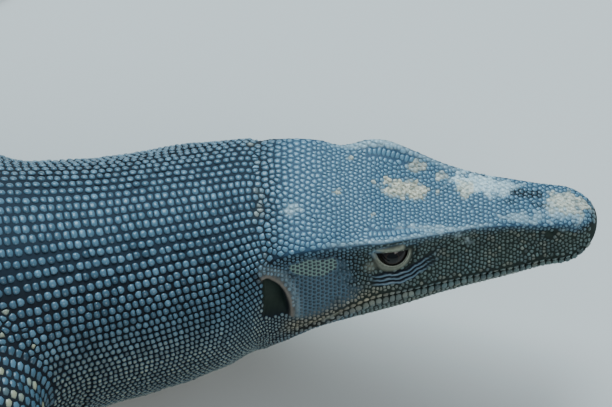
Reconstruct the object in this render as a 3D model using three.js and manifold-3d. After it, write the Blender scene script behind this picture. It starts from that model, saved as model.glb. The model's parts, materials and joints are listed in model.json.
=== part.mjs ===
// A life-size water monitor lizard, at rest on its belly with its head held low and level.
// Millimetres, +Z up, head towards +X. Its right side faces -Y. The floor is z = 0.
import * as THREE from "three";
import { mergeVertices } from "three/addons/utils/BufferGeometryUtils.js";
import Module from "manifold-3d";

const wasm = await Module();
wasm.setup();

// Driving dimensions. Stations run back from the tip of the snout, along the spine.
const EAR_STATION = 110.6;
const HEAD_END = 122;
const NECK_END = 184;
const VENT = 690;
const TAIL_CUTS = [950, 1220, 1490];
const TOTAL_LENGTH = 1750;
const SHOULDER = 214;
const HIP = 606;
const SNOUT_HEIGHT = 60; // centre of the snout's tip above the floor
const SNOUT_ROUNDING = 13; // length over which the tip of the snout rounds off
const MOUTH_CORNER = 92;
const LIP = 1.3; // height of each lip's rolled edge
const MOUTH_GROOVE = 1.5;
const GAP = 0.3; // between nodes that touch
const SPINE_STEP = 2;

// Heading of the spine in degrees, by station: the head looks along +X, the neck comes in from
// its right, and the tail lies in a long S.
const HEADING = [
  [0, 0],
  [100, 0],
  [132, 10],
  [190, 11],
  [230, 9],
  [400, 0],
  [600, -9],
  [800, 2],
  [1050, 30],
  [1300, 14],
  [1550, -34],
  [1750, -52],
];

// Feature lines of the head, by station. Heights are above the floor, widths are from the midline.
const HEAD = {
  crown: [
    [0, 69.5], [16, 69.9], [29, 71.4], [50, 72.6], [66, 74.6], [80, 76.6], [95, 77], [112, 76],
    [150, 74],
  ],
  ridgeWidth: [
    [0, 7.4], [16, 8.6], [29, 9.8], [40, 11.2], [50, 13.9], [66, 19.4], [75, 21.5], [86, 21],
    [94, 22.6], [104, 23.8], [150, 27],
  ],
  ridgeHeight: [
    [0, 68.6], [16, 69], [29, 70.6], [50, 72.9], [66, 75.8], [76, 76.6], [86, 74.4],
    [94, 75.2], [112, 73.4], [150, 69],
  ],
  lipWidth: [
    [0, 13], [16, 14.4], [29, 17.8], [50, 23], [66, 27.5], [78, 30.5], [90, 33.3], [112, 37],
    [150, 42],
  ],
  lipHeight: [[0, 57], [16, 56.4], [50, 56.4], [74, 56.8], [83, 54], [92, 50], [112, 45], [150, 41]],
  jawWidth: [
    [0, 11.4], [16, 13], [29, 16.4], [50, 21.5], [66, 26], [78, 29], [93, 32], [112, 35.5],
    [150, 39],
  ],
  jawHeight: [
    [0, 53], [16, 52.4], [29, 51.4], [50, 49.4], [66, 47.4], [78, 46.2], [93, 43.4], [112, 34],
    [150, 22],
  ],
  chin: [
    [0, 50.5], [16, 49], [29, 47.4], [50, 44.8], [66, 42], [78, 38.6], [90, 33.5], [112, 20],
    [150, 2],
  ],
};

// Neck, trunk and tail, by station: rounded sections with a widest height and a roundness.
const BODY = {
  width: [[100, 36], [134, 41], [160, 42.5], [190, 46], [225, 55], [290, 68], [400, 77], [500, 74], [580, 61],
    [640, 50], [690, 43], [760, 35], [850, 28], [1000, 20.5], [1200, 14], [1400, 9.5], [1600, 5.6], [1750, 2.2]],
  top: [[100, 77], [134, 75], [160, 75], [190, 78], [225, 85], [290, 97], [400, 106], [500, 104], [580, 95],
    [690, 82], [760, 76], [850, 69], [1000, 58.5], [1200, 46], [1400, 34], [1600, 20.5], [1750, 7]],
  bottom: [[100, 27], [134, 9], [150, 3], [175, -1.2], [1750, -1.2]],
  widest: [[100, 53], [134, 44], [160, 39], [225, 38], [400, 41], [600, 38], [690, 35], [850, 29], [1000, 24],
    [1400, 14], [1750, 3]],
  roundness: [[100, 2], [225, 2.1], [400, 2.25], [640, 2.1], [760, 1.85], [1000, 1.6], [1750, 1.6]],
};

const EYE = { station: 69.2, out: 17.4, height: 67.8, radius: 6, lid: [9.4, 7, 6.9], tilt: 25, opening: [4.7, 2.6] };
const NOSTRIL = { station: 16.2, out: 12, height: 65.6, size: [3.1, 2.6, 1.7] };
const EAR = { out: 35.6, height: 60.6, size: [5.4, 7, 9.6], lean: 0.6 };

// Limbs as (forward, outward, up) from the spine at the limb's own station, from its root to the
// end of the palm or sole, with the half width and half height of the flesh at each.
const FRONT_LIMB = {
  station: SHOULDER,
  path: [[2, 22, 48], [-8, 66, 46], [-16, 100, 38], [6, 124, 24], [28, 136, 12.5], [46, 142, 6.4]],
  halfWidth: [26, 22, 17.5, 16, 10.5, 15.5],
  halfHeight: [25, 21, 17, 14.5, 9.5, 5.8],
  joints: [2, 4],
  toes: { length: [19, 28, 32, 31, 23], turn: [46, 22, 3, -15, -44], radius: 5, spread: 11.5 },
};
const HIND_LIMB = {
  station: HIP,
  path: [[0, 18, 46], [30, 62, 52], [52, 104, 46], [40, 138, 32], [22, 163, 17], [38, 188, 7]],
  halfWidth: [33, 30, 22, 19.5, 13, 17],
  halfHeight: [33, 28, 21, 18, 12.5, 6.2],
  joints: [2, 4],
  toes: { length: [21, 33, 43, 49, 30], turn: [34, 15, 0, -14, -52], radius: 5.4, spread: 12.5 },
};
const LIMBS = [
  { name: "front_right", side: -1, limb: FRONT_LIMB, lean: [0, 0], toeOut: 18 },
  { name: "front_left", side: 1, limb: FRONT_LIMB, lean: [-48, 18], toeOut: 26 },
  { name: "hind_right", side: -1, limb: HIND_LIMB, lean: [-14, 4], toeOut: 34 },
  { name: "hind_left", side: 1, limb: HIND_LIMB, lean: [6, -2], toeOut: 26 },
];
const CLAW = { length: 12.5, halfWidth: 1.7, halfHeight: 2.7, drop: 3.2 };

const COLOURS = {
  skin: { color: 0x2b3a44, roughness: 0.42, metalness: 0 },
  claw: { color: 0x17181a, roughness: 0.35, metalness: 0 },
  eye: { color: 0x14100c, roughness: 0.08, metalness: 0 },
};
const materials = Object.fromEntries(
  Object.entries(COLOURS).map(([name, look]) => [name, new THREE.MeshStandardMaterial({ name, ...look })]),
);

// A smooth curve through [place, value] keys that never overshoots them.
function smooth(keys, at) {
  const last = keys.length - 1;
  if (at <= keys[0][0]) return keys[0][1];
  if (at >= keys[last][0]) return keys[last][1];
  const i = keys.findIndex(([place]) => place > at) - 1;
  const slope = (j) => (keys[j + 1][1] - keys[j][1]) / (keys[j + 1][0] - keys[j][0]);
  const tangent = (j) => {
    if (j === 0) return slope(0);
    if (j === last) return slope(last - 1);
    const [before, after] = [slope(j - 1), slope(j)];
    return before * after <= 0 ? 0 : (2 * before * after) / (before + after);
  };
  const width = keys[i + 1][0] - keys[i][0];
  const t = (at - keys[i][0]) / width;
  return (
    keys[i][1] * (1 + 2 * t) * (1 - t) ** 2 +
    keys[i + 1][1] * (3 - 2 * t) * t ** 2 +
    width * (tangent(i) * t * (1 - t) ** 2 - tangent(i + 1) * t ** 2 * (1 - t))
  );
}

const radians = THREE.MathUtils.degToRad;
const smoothstep = THREE.MathUtils.smoothstep;

// The spine on the floor plan, found by walking back from the snout along the heading.
const spinePlan = [[0, 0]];
for (let s = 0; s < TOTAL_LENGTH; s += SPINE_STEP) {
  const heading = radians(smooth(HEADING, s + SPINE_STEP / 2));
  const [x, y] = spinePlan.at(-1);
  spinePlan.push([x - SPINE_STEP * Math.cos(heading), y - SPINE_STEP * Math.sin(heading)]);
}

// The place in space of a point beside the spine: outward is to the animal's left.
function place(station, outward, height, forward = 0) {
  const heading = radians(smooth(HEADING, station));
  const index = Math.min(Math.floor(station / SPINE_STEP), spinePlan.length - 2);
  const share = station / SPINE_STEP - index;
  const [a, b] = [spinePlan[index], spinePlan[index + 1]];
  return new THREE.Vector3(
    a[0] + (b[0] - a[0]) * share + forward * Math.cos(heading) - outward * Math.sin(heading),
    a[1] + (b[1] - a[1]) * share + forward * Math.sin(heading) + outward * Math.cos(heading),
    height,
  );
}

// Where each named point of the head's half section comes, from 0 at the crown to 1 at the chin.
const SECTION_STEPS = [-0.13, 0, 0.13, 0.26, 0.31, 0.43, 0.55, 0.58, 0.61, 0.77, 1, 1.23];

function headPoint(station, t) {
  const at = Object.fromEntries(Object.entries(HEAD).map(([name, keys]) => [name, smooth(keys, station)]));
  const { crown, ridgeWidth, ridgeHeight, lipWidth, lipHeight, jawWidth, jawHeight, chin } = at;
  const flare = lipWidth - ridgeWidth;
  const drop = ridgeHeight - lipHeight;
  const groove = MOUTH_GROOVE * (1 - smoothstep(station, MOUTH_CORNER - 8, MOUTH_CORNER));
  const points = [
    [0, crown],
    [0.58 * ridgeWidth, crown + 0.28 * (ridgeHeight - crown)],
    [ridgeWidth, ridgeHeight],
    [ridgeWidth + 0.13 * flare, ridgeHeight - 0.2 * drop],
    [ridgeWidth + 0.62 * flare, ridgeHeight - 0.6 * drop],
    [lipWidth, lipHeight + LIP],
    [lipWidth - groove, lipHeight],
    [lipWidth - 0.3 * groove, lipHeight - LIP],
    [jawWidth, jawHeight],
    [0, chin],
  ];
  const mirror = ([out, height]) => [-out, height];
  const all = [mirror(points[1]), ...points, mirror(points[8])];
  const along = (axis) => smooth(all.map((point, i) => [SECTION_STEPS[i], point[axis]]), t);
  const left = 1 - Math.min(station, SNOUT_ROUNDING) / SNOUT_ROUNDING;
  const tip = Math.sqrt(1 - left ** 2);
  return [along(0) * tip, SNOUT_HEIGHT + (along(1) - SNOUT_HEIGHT) * tip];
}

function bodyPoint(station, t) {
  const at = Object.fromEntries(Object.entries(BODY).map(([name, keys]) => [name, smooth(keys, station)]));
  const angle = Math.PI * t;
  const power = 2 / at.roundness;
  const reach = angle < Math.PI / 2 ? at.top - at.widest : at.bottom - at.widest;
  return [
    at.width * Math.max(Math.sin(angle), 0) ** power,
    at.widest + reach * Math.abs(Math.cos(angle)) ** power,
  ];
}

// A point of the half section: the head's shape melts into the neck's behind the jaw.
function trunkPoint(station, t) {
  const blend = smoothstep(station, 98, 136);
  if (blend === 0) return headPoint(station, t);
  if (blend === 1) return bodyPoint(station, t);
  const [head, body] = [headPoint(station, t), bodyPoint(station, t)];
  return head.map((value, axis) => value + (body[axis] - value) * blend);
}

const onFloor = (point) => point.setZ(Math.max(point.z, 0));

// A whole ring of the trunk round the spine, from the crown down the left side and up the right.
function trunkRing(station, steps, grow = 0) {
  const half = steps.map((t) => trunkPoint(station, t));
  const inner = half.slice(1, -1).reverse();
  const ring = [...half, ...inner.map(([out, height]) => [-out, height])];
  const middle = trunkPoint(station, 0.5)[1];
  return ring.map(([out, height]) => {
    const length = Math.hypot(out, height - middle) || 1;
    const scale = 1 + grow / length;
    return onFloor(place(station, out * scale, middle + (height - middle) * scale));
  });
}

// Joins rings of the same count into one closed surface with a fan over each end.
function loft(rings) {
  const size = rings[0].length;
  const positions = [];
  rings.forEach((ring) => ring.forEach((point) => positions.push(...point.toArray())));
  const centre = (ring) => {
    const sum = ring.reduce((total, point) => total.add(point), new THREE.Vector3());
    return sum.divideScalar(size);
  };
  positions.push(...centre(rings[0]).toArray(), ...centre(rings.at(-1)).toArray());
  const faces = [];
  for (let r = 0; r + 1 < rings.length; r++) {
    for (let i = 0; i < size; i++) {
      const [a, b] = [r * size + i, r * size + ((i + 1) % size)];
      faces.push(a, b, b + size, a, b + size, a + size);
    }
  }
  const [start, end] = [rings.length * size, rings.length * size + 1];
  for (let i = 0; i < size; i++) {
    const next = (i + 1) % size;
    faces.push(start, next, i);
    faces.push(end, (rings.length - 1) * size + i, (rings.length - 1) * size + next);
  }
  const geometry = new THREE.BufferGeometry();
  geometry.setAttribute("position", new THREE.Float32BufferAttribute(positions, 3));
  geometry.setIndex(faces);
  return solid(geometry);
}

// A geometry as a closed solid, with its faces turned outwards.
function solid(geometry) {
  const bare = geometry.clone();
  bare.deleteAttribute("normal");
  bare.deleteAttribute("uv");
  const merged = mergeVertices(bare, 1e-4);
  const index = Array.from(merged.index.array);
  const triangles = [];
  for (let i = 0; i < index.length; i += 3) {
    const [a, b, c] = index.slice(i, i + 3);
    if (a !== b && b !== c && c !== a) triangles.push(a, b, c);
  }
  const build = (corners) =>
    new wasm.Manifold(
      new wasm.Mesh({
        numProp: 3,
        vertProperties: new Float32Array(merged.attributes.position.array),
        triVerts: new Uint32Array(corners),
      }),
    );
  const made = build(triangles);
  return made.volume() > 0 ? made : build(triangles.reverse());
}

const largest = (shape) => shape.decompose().reduce((best, piece) => (piece.volume() > best.volume() ? piece : best));

function toMesh(name, shape, material) {
  const data = largest(shape).getMesh();
  const positions = [];
  for (let i = 0; i < data.numVert; i++) {
    positions.push(...data.vertProperties.subarray(i * data.numProp, i * data.numProp + 3));
  }
  const geometry = new THREE.BufferGeometry();
  geometry.setAttribute("position", new THREE.Float32BufferAttribute(positions, 3));
  geometry.setIndex(Array.from(data.triVerts));
  const mesh = new THREE.Mesh(geometry, material);
  mesh.name = name;
  return mesh;
}

const evenly = (from, to, count) => Array.from({ length: count }, (_, i) => from + ((to - from) * i) / (count - 1));

const HEAD_STEPS = [
  0, 0.07, 0.14, 0.21, 0.26, 0.31, 0.37, 0.43, 0.49, 0.55, 0.58, 0.61, 0.69, 0.77, 0.85, 0.93, 1,
];
const BODY_STEPS = evenly(0, 1, 14);
const TAIL_STEPS = evenly(0, 1, 9);

// Stations close together at the very tip of the snout, where it rounds off.
const SNOUT_STATIONS = [0.4, 1.6, 3.6, 6.4, 10, 14];

const half = GAP / 2;
const tailEnds = [VENT, ...TAIL_CUTS, TOTAL_LENGTH];
const LENGTHS = {
  neck: { stations: evenly(HEAD_END + half, NECK_END - half, 9), steps: HEAD_STEPS },
  torso: { stations: evenly(NECK_END + half, VENT - half, 26), steps: BODY_STEPS },
};
for (let i = 0; i + 1 < tailEnds.length; i++) {
  const stations = evenly(tailEnds[i] + half, tailEnds[i + 1] - half, 12);
  LENGTHS[`tail_${i + 1}`] = { stations, steps: TAIL_STEPS };
}

function trunkLength(name) {
  const { stations, steps } = LENGTHS[name];
  return loft(stations.map((station) => trunkRing(station, steps)));
}

// The same length a gap's width larger all round and at both ends, to cut what grows from it.
function trunkCutter(name) {
  const { stations, steps } = LENGTHS[name];
  const ends = [stations[0] - GAP, ...stations, stations.at(-1) + GAP];
  return loft(ends.map((station) => trunkRing(station, steps, GAP)));
}

function ellipsoid(size, centre, turn = new THREE.Euler()) {
  const geometry = new THREE.SphereGeometry(1, 14, 10);
  geometry.scale(...size);
  geometry.applyMatrix4(new THREE.Matrix4().makeRotationFromEuler(turn));
  geometry.translate(...centre.toArray());
  return solid(geometry);
}

// The almond opening between the lids, as a prism that points outwards from the eye.
function lidOpening(centre, side) {
  const [reach, rise] = EYE.opening;
  const almond = new THREE.Shape();
  almond.moveTo(-reach, 0);
  almond.quadraticCurveTo(0, rise * 1.7, reach, 0);
  almond.quadraticCurveTo(0, rise * -1.9, -reach, 0);
  const geometry = new THREE.ExtrudeGeometry(almond, { depth: 14, bevelEnabled: false, curveSegments: 5 });
  geometry.rotateX(Math.PI / 2 - radians(EYE.tilt));
  geometry.scale(1, -side, 1);
  geometry.translate(...centre.toArray());
  return solid(geometry);
}

function makeHead() {
  const stations = [...SNOUT_STATIONS, ...evenly(20, HEAD_END - GAP / 2, 22)];
  let head = loft(stations.map((station) => trunkRing(station, HEAD_STEPS)));
  for (const side of [-1, 1]) {
    const eye = place(EYE.station, side * EYE.out, EYE.height);
    const socket = EYE.radius + GAP;
    const ear = place(EAR_STATION, side * EAR.out, EAR.height);
    const nostril = place(NOSTRIL.station, side * NOSTRIL.out, NOSTRIL.height);
    head = head
      .add(ellipsoid(EYE.lid, eye))
      .subtract(ellipsoid([socket, socket, socket], eye))
      .subtract(lidOpening(eye, side))
      .subtract(ellipsoid(EAR.size, ear, new THREE.Euler(0, -EAR.lean, 0)))
      .subtract(ellipsoid(NOSTRIL.size, nostril));
  }
  return head;
}

// The flesh of a limb at t, which counts the points of its path: its centre and half sizes.
function limbAt({ side, limb, lean }, t) {
  const keys = (values) => values.map((value, i) => [i, value]);
  const along = (axis) => smooth(keys(limb.path.map((point) => point[axis])), t);
  const swing = t / (limb.path.length - 1);
  return {
    centre: place(
      limb.station,
      side * (along(1) + lean[1] * swing),
      along(2),
      along(0) + lean[0] * swing,
    ),
    halfWidth: smooth(keys(limb.halfWidth), t),
    halfHeight: smooth(keys(limb.halfHeight), t),
  };
}

// An oval ring square to a direction, flat on the floor where it would sink in.
function ovalRing(centre, direction, halfWidth, halfHeight, sides) {
  const across = new THREE.Vector3(-direction.y, direction.x, 0).normalize();
  const up = new THREE.Vector3().crossVectors(direction, across).normalize();
  return Array.from({ length: sides }, (_, i) => {
    const angle = (2 * Math.PI * i) / sides;
    const point = centre.clone().addScaledVector(across, halfWidth * Math.cos(angle));
    return onFloor(point.addScaledVector(up, halfHeight * Math.sin(angle)));
  });
}

// A length of a limb between two places on its path, drawn back from each by half a gap.
function limbLength(which, from, to, count, sides, grow = 0) {
  const rings = evenly(from, to, count).map((t, i) => {
    const { centre, halfWidth, halfHeight } = limbAt(which, t);
    const [ahead, behind] = [limbAt(which, t + 0.25).centre, limbAt(which, t - 0.25).centre];
    const direction = ahead.sub(behind).normalize();
    const inset = i === 0 ? half - grow : i === count - 1 ? grow - half : 0;
    centre.addScaledVector(direction, inset);
    return ovalRing(centre, direction, halfWidth + grow, halfHeight + grow, sides);
  });
  return loft(rings);
}

// A toe's own line from its knuckle, arched once and laid down on the floor at its tip.
function toeLine(which, digit) {
  const { side, limb, toeOut } = which;
  const { length, turn, radius, spread } = limb.toes;
  const end = limb.path.length - 1;
  const palm = limbAt(which, end).centre;
  const heading = radians(smooth(HEADING, limb.station) + side * toeOut);
  const across = side * (2 - digit) * -0.5 * spread;
  const bearing = heading - side * radians(turn[digit]);
  const setBack = Math.abs(digit - 2) ** 2 * -1.6;
  const base = new THREE.Vector3(
    palm.x + setBack * Math.cos(heading) - across * Math.sin(heading),
    palm.y + setBack * Math.sin(heading) + across * Math.cos(heading),
    0,
  );
  const forward = new THREE.Vector3(Math.cos(bearing), Math.sin(bearing), 0);
  const at = (t) => base.clone().addScaledVector(forward, (length[digit] + 6) * t - 6).setZ(
    smooth([[0, 6.4], [0.4, 7.2], [1, 3.4]], t),
  );
  return { at, forward, radius, direction: (t) => at(t + 0.03).sub(at(t - 0.03)).normalize() };
}

function toe(which, digit) {
  const { at, direction, radius } = toeLine(which, digit);
  const girth = (t) => radius * smooth([[0, 1], [0.35, 0.86], [0.6, 0.95], [1, 0.72]], t);
  return loft(
    evenly(0, 1, 6).map((t) => ovalRing(at(t), direction(t), girth(t), girth(t) * 0.92, 8)),
  );
}

// A claw grows from the end of its toe, curves down and ends in a point just above the floor.
function claw(which, digit) {
  const { at, forward, direction } = toeLine(which, digit);
  const leaving = direction(1);
  const root = at(1).addScaledVector(leaving, GAP);
  const line = (t) => {
    const arch = 0.9 * Math.sin(Math.PI * t) + 0.6 * t - CLAW.drop * t * t;
    return root.clone().addScaledVector(forward, CLAW.length * t).setZ(root.z + arch);
  };
  const rings = evenly(0, 1, 5).map((t) => {
    const taper = 1 - 0.86 * t ** 1.3;
    return ovalRing(line(t), t === 0 ? leaving : forward, CLAW.halfWidth * taper, CLAW.halfHeight * taper, 6);
  });
  return loft(rings);
}

function foot(which) {
  const [elbow, wrist] = which.limb.joints;
  const end = which.limb.path.length - 1;
  let shape = limbLength(which, wrist, end, 6, 14);
  for (let digit = 0; digit < 5; digit++) shape = shape.add(toe(which, digit));
  return shape.subtract(limbLength(which, elbow, wrist, 7, 14, GAP));
}

const TRUNK_CUTTERS = ["neck", "torso", "tail_1"].map(trunkCutter);

function makeLimb(which) {
  const { name, limb } = which;
  const [elbow, wrist] = limb.joints;
  const clear = (shape) => TRUNK_CUTTERS.reduce((left, cutter) => left.subtract(cutter), shape);
  const upper = clear(limbLength(which, 0, elbow, 7, 16));
  const lower = clear(limbLength(which, elbow, wrist, 7, 14));
  const meshes = [
    toMesh(`leg_${name}_upper`, upper, materials.skin),
    toMesh(`leg_${name}_lower`, lower, materials.skin),
    toMesh(`foot_${name}`, foot(which), materials.skin),
  ];
  for (let digit = 0; digit < 5; digit++) {
    meshes.push(toMesh(`claw_${name}_${digit + 1}`, claw(which, digit), materials.claw));
  }
  return meshes;
}

const lizard = new THREE.Group();
lizard.name = "water_monitor";
lizard.add(toMesh("head", makeHead(), materials.skin));
for (const [name, side] of [["eye_right", -1], ["eye_left", 1]]) {
  const centre = place(EYE.station, side * EYE.out, EYE.height);
  lizard.add(toMesh(name, ellipsoid([EYE.radius, EYE.radius, EYE.radius], centre), materials.eye));
}
Object.keys(LENGTHS).forEach((name) => lizard.add(toMesh(name, trunkLength(name), materials.skin)));
LIMBS.forEach((which) => lizard.add(...makeLimb(which)));

// The origin is on the floor, under the middle of the whole animal.
const bounds = new THREE.Box3().setFromObject(lizard);
const middle = bounds.getCenter(new THREE.Vector3());
lizard.position.set(-middle.x, -middle.y, -bounds.min.z);

export default lizard;
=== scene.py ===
# %% [markdown]
# # A water monitor lizard, life size
# The lizard lies on its belly with its head held low and level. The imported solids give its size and
# place. This lesson dresses them: one smooth skin over all the flesh, thousands of separate raised
# scales on it, wet eyes between real lids, and horny claws. Everything is worked out in millimetres
# from named sizes and turned into metres when a mesh is made.

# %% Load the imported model
import json
import math

import bmesh
import bpy
import numpy as np
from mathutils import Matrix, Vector
from mathutils.bvhtree import BVHTree
from mathutils.kdtree import KDTree

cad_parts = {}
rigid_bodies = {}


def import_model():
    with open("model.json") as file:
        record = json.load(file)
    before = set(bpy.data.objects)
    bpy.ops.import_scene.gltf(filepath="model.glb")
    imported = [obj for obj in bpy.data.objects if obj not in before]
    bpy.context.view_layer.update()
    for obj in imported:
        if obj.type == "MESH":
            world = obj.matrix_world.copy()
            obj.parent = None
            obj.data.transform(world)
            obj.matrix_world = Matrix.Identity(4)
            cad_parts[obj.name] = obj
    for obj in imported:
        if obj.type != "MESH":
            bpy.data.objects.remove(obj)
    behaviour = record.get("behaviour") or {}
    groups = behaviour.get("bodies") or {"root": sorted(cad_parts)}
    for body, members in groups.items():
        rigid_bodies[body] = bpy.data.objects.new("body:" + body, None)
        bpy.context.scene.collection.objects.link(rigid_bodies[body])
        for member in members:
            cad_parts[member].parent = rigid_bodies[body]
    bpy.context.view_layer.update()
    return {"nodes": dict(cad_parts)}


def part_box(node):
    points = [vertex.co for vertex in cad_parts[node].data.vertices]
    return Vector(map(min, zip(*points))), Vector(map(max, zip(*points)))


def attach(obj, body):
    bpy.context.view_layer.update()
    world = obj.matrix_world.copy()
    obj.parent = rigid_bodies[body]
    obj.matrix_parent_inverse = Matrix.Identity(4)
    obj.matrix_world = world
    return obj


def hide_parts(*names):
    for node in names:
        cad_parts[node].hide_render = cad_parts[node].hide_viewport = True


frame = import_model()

MM = 0.001
SEED = 7
NODES = list(frame["nodes"])

# %% [markdown]
# ## Curves through named places
# A lizard's body is a long tube whose width, height and roundness change slowly. Each is given at a
# few stations, counted back from the tip of the snout, and a smooth curve fills in the rest. The
# curve is a cubic that never overshoots its keys, so a lip stays level between two equal keys.

# %% Smooth curves
def smooth_rows(places, values, at):
    """A curve through each row of values at the same places, read at one place per row."""
    places = np.asarray(places, float)
    values = np.atleast_2d(np.asarray(values, float))
    at = np.clip(np.atleast_1d(np.asarray(at, float)), places[0], places[-1])
    slope = np.diff(values) / np.diff(places)
    before, after = slope[:, :-1], slope[:, 1:]
    agree = before * after > 0
    inner = np.where(agree, 2 * before * after / np.where(agree, before + after, 1.0), 0.0)
    tangent = np.hstack([slope[:, :1], inner, slope[:, -1:]])
    i = np.clip(np.searchsorted(places, at, side="right") - 1, 0, len(places) - 2)
    row = np.arange(len(at)) if len(values) > 1 else np.zeros(len(at), int)
    width = places[i + 1] - places[i]
    t = (at - places[i]) / width
    ends = values[row, i] * (1 + 2 * t) * (1 - t) ** 2 + values[row, i + 1] * (3 - 2 * t) * t**2
    lean = tangent[row, i] * t * (1 - t) ** 2 - tangent[row, i + 1] * t**2 * (1 - t)
    return ends + width * lean


def smooth(keys, at):
    places, values = zip(*keys)
    at = np.asarray(at, float)
    return smooth_rows(places, [values], at.ravel()).reshape(at.shape)


def ease(x, low, high):
    """0 below low, 1 above high and a soft step between; low may be above high."""
    t = np.clip((np.asarray(x, float) - low) / (high - low), 0, 1)
    return t * t * (3 - 2 * t)


def bump(x, centre, width):
    """A soft hump of height 1."""
    return np.exp(-(((np.asarray(x, float) - centre) / width) ** 2))


def span(x, start, full, fade, end):
    """1 from full to fade, 0 outside start and end, with a soft step at each side."""
    return ease(x, start, full) * ease(x, end, fade)

# %% [markdown]
# ## The lizard's named sizes
# These are the sizes of the solids: the bend of the spine, the feature lines of the head, the
# sections of neck, trunk and tail, and the limbs. The skin uses the same numbers, so it lies just
# inside the solids everywhere.

# %% Sizes of the body
TOTAL_LENGTH = 1750
SPINE_STEP = 2
SNOUT_HEIGHT = 60
SNOUT_ROUNDING = 13
MOUTH_CORNER = 92
LIP = 1.3
MOUTH_GROOVE = 1.7
JAW_STOP = 120
EAR_STOP = 125
HEAD_STOP = 130
SHOULDER, HIP = 214, 606

HEADING = [
    (0, 0), (100, 0), (132, 10), (190, 11), (230, 9), (400, 0), (600, -9),
    (800, 2), (1050, 30), (1300, 14), (1550, -34), (1750, -52),
]
HEAD = {
    "crown": [
        (0, 69.5), (16, 69.9), (29, 71.4), (50, 72.6), (66, 74.6), (80, 76.6), (95, 77), (112, 76),
        (150, 74),
    ],
    "ridgeWidth": [
        (0, 7.4), (16, 8.6), (29, 9.8), (40, 11.2), (50, 13.9), (66, 19.4), (75, 21.5), (86, 21),
        (94, 22.6), (104, 23.8), (150, 27),
    ],
    "ridgeHeight": [
        (0, 68.6), (16, 69), (29, 70.6), (50, 72.9), (66, 75.8), (76, 76.6), (86, 74.4), (94, 75.2),
        (112, 73.4), (150, 69),
    ],
    "lipWidth": [
        (0, 13), (16, 14.4), (29, 17.8), (50, 23), (66, 27.5), (78, 30.5), (90, 33.3), (112, 37),
        (150, 42),
    ],
    "lipHeight": [
        (0, 57), (16, 56.4), (50, 56.4), (74, 56.8), (83, 54), (92, 50), (112, 45), (150, 41),
    ],
    "jawWidth": [
        (0, 11.4), (16, 13), (29, 16.4), (50, 21.5), (66, 26), (78, 29), (93, 32), (112, 35.5),
        (150, 39),
    ],
    "jawHeight": [
        (0, 53), (16, 52.4), (29, 51.4), (50, 49.4), (66, 47.4), (78, 46.2), (93, 43.4), (112, 34),
        (150, 22),
    ],
    "chin": [
        (0, 50.5), (16, 49), (29, 47.4), (50, 44.8), (66, 42), (78, 38.6), (90, 33.5), (112, 20),
        (150, 2),
    ],
}
BODY = {
    "width": [
        (100, 36), (134, 41), (160, 42.5), (190, 46), (225, 55), (290, 68), (400, 77), (500, 74),
        (580, 61), (640, 50), (690, 43), (760, 35), (850, 28), (1000, 20.5), (1200, 14), (1400, 9.5),
        (1600, 5.6), (1750, 2.2),
    ],
    "top": [
        (100, 77), (134, 75), (160, 75), (190, 78), (225, 85), (290, 97), (400, 106), (500, 104),
        (580, 95), (690, 82), (760, 76), (850, 69), (1000, 58.5), (1200, 46), (1400, 34), (1600, 20.5),
        (1750, 7),
    ],
    "bottom": [(100, 27), (134, 9), (150, 3), (175, -1.2), (1750, -1.2)],
    "widest": [
        (100, 53), (134, 44), (160, 39), (225, 38), (400, 41), (600, 38), (690, 35), (850, 29),
        (1000, 24), (1400, 14), (1750, 3),
    ],
    "roundness": [
        (100, 2), (225, 2.1), (400, 2.25), (640, 2.1), (760, 1.85), (1000, 1.6), (1750, 1.6),
    ],
}
EYE = {"station": 69.2, "out": 17.4, "height": 67.8, "radius": 6.0, "tilt": 25}
NOSTRIL = {"station": 16.2, "height": 65.6}
EAR = {"station": 115, "height": 55, "reach": 11.2, "depth": 6.5}

FRONT_LIMB = {
    "station": SHOULDER,
    "path": [(2, 22, 48), (-8, 66, 46), (-16, 100, 38), (6, 124, 24), (28, 136, 12.5), (46, 142, 6.4)],
    "halfWidth": [26, 22, 17.5, 16, 10.5, 15.5],
    "halfHeight": [25, 21, 17, 14.5, 9.5, 5.8],
    "length": [19, 28, 32, 31, 23], "turn": [46, 22, 3, -15, -44], "radius": 5, "spread": 11.5,
}
HIND_LIMB = {
    "station": HIP,
    "path": [(0, 18, 46), (30, 62, 52), (52, 104, 46), (40, 138, 32), (22, 163, 17), (38, 188, 7)],
    "halfWidth": [33, 30, 22, 19.5, 13, 17],
    "halfHeight": [33, 28, 21, 18, 12.5, 6.2],
    "length": [21, 33, 43, 49, 30], "turn": [34, 15, 0, -14, -52], "radius": 5.4, "spread": 12.5,
}
LIMBS = [
    {"name": "front_right", "side": -1, "limb": FRONT_LIMB, "lean": (0, 0), "toeOut": 18},
    {"name": "front_left", "side": 1, "limb": FRONT_LIMB, "lean": (-48, 18), "toeOut": 26},
    {"name": "hind_right", "side": -1, "limb": HIND_LIMB, "lean": (-14, 4), "toeOut": 34},
    {"name": "hind_left", "side": 1, "limb": HIND_LIMB, "lean": (6, -2), "toeOut": 26},
]
CLAW = {"length": 12.5, "halfWidth": 1.7, "halfHeight": 2.7, "drop": 3.2}

# %% [markdown]
# ## The spine
# The body is bent only sideways, so its spine is a curve on the floor plan. Walking back from the
# snout along a smooth heading gives it, and every point of the body is then placed by its station,
# how far out it is, and its height. The solids' own right eye shows where the snout's tip is.

# %% Walk the spine
steps = np.arange(0, TOTAL_LENGTH, SPINE_STEP)
angles = np.radians(smooth(HEADING, steps + SPINE_STEP / 2))
spine_x = np.concatenate([[0], np.cumsum(-SPINE_STEP * np.cos(angles))])
spine_y = np.concatenate([[0], np.cumsum(-SPINE_STEP * np.sin(angles))])
spine_at = np.arange(len(spine_x)) * SPINE_STEP


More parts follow.
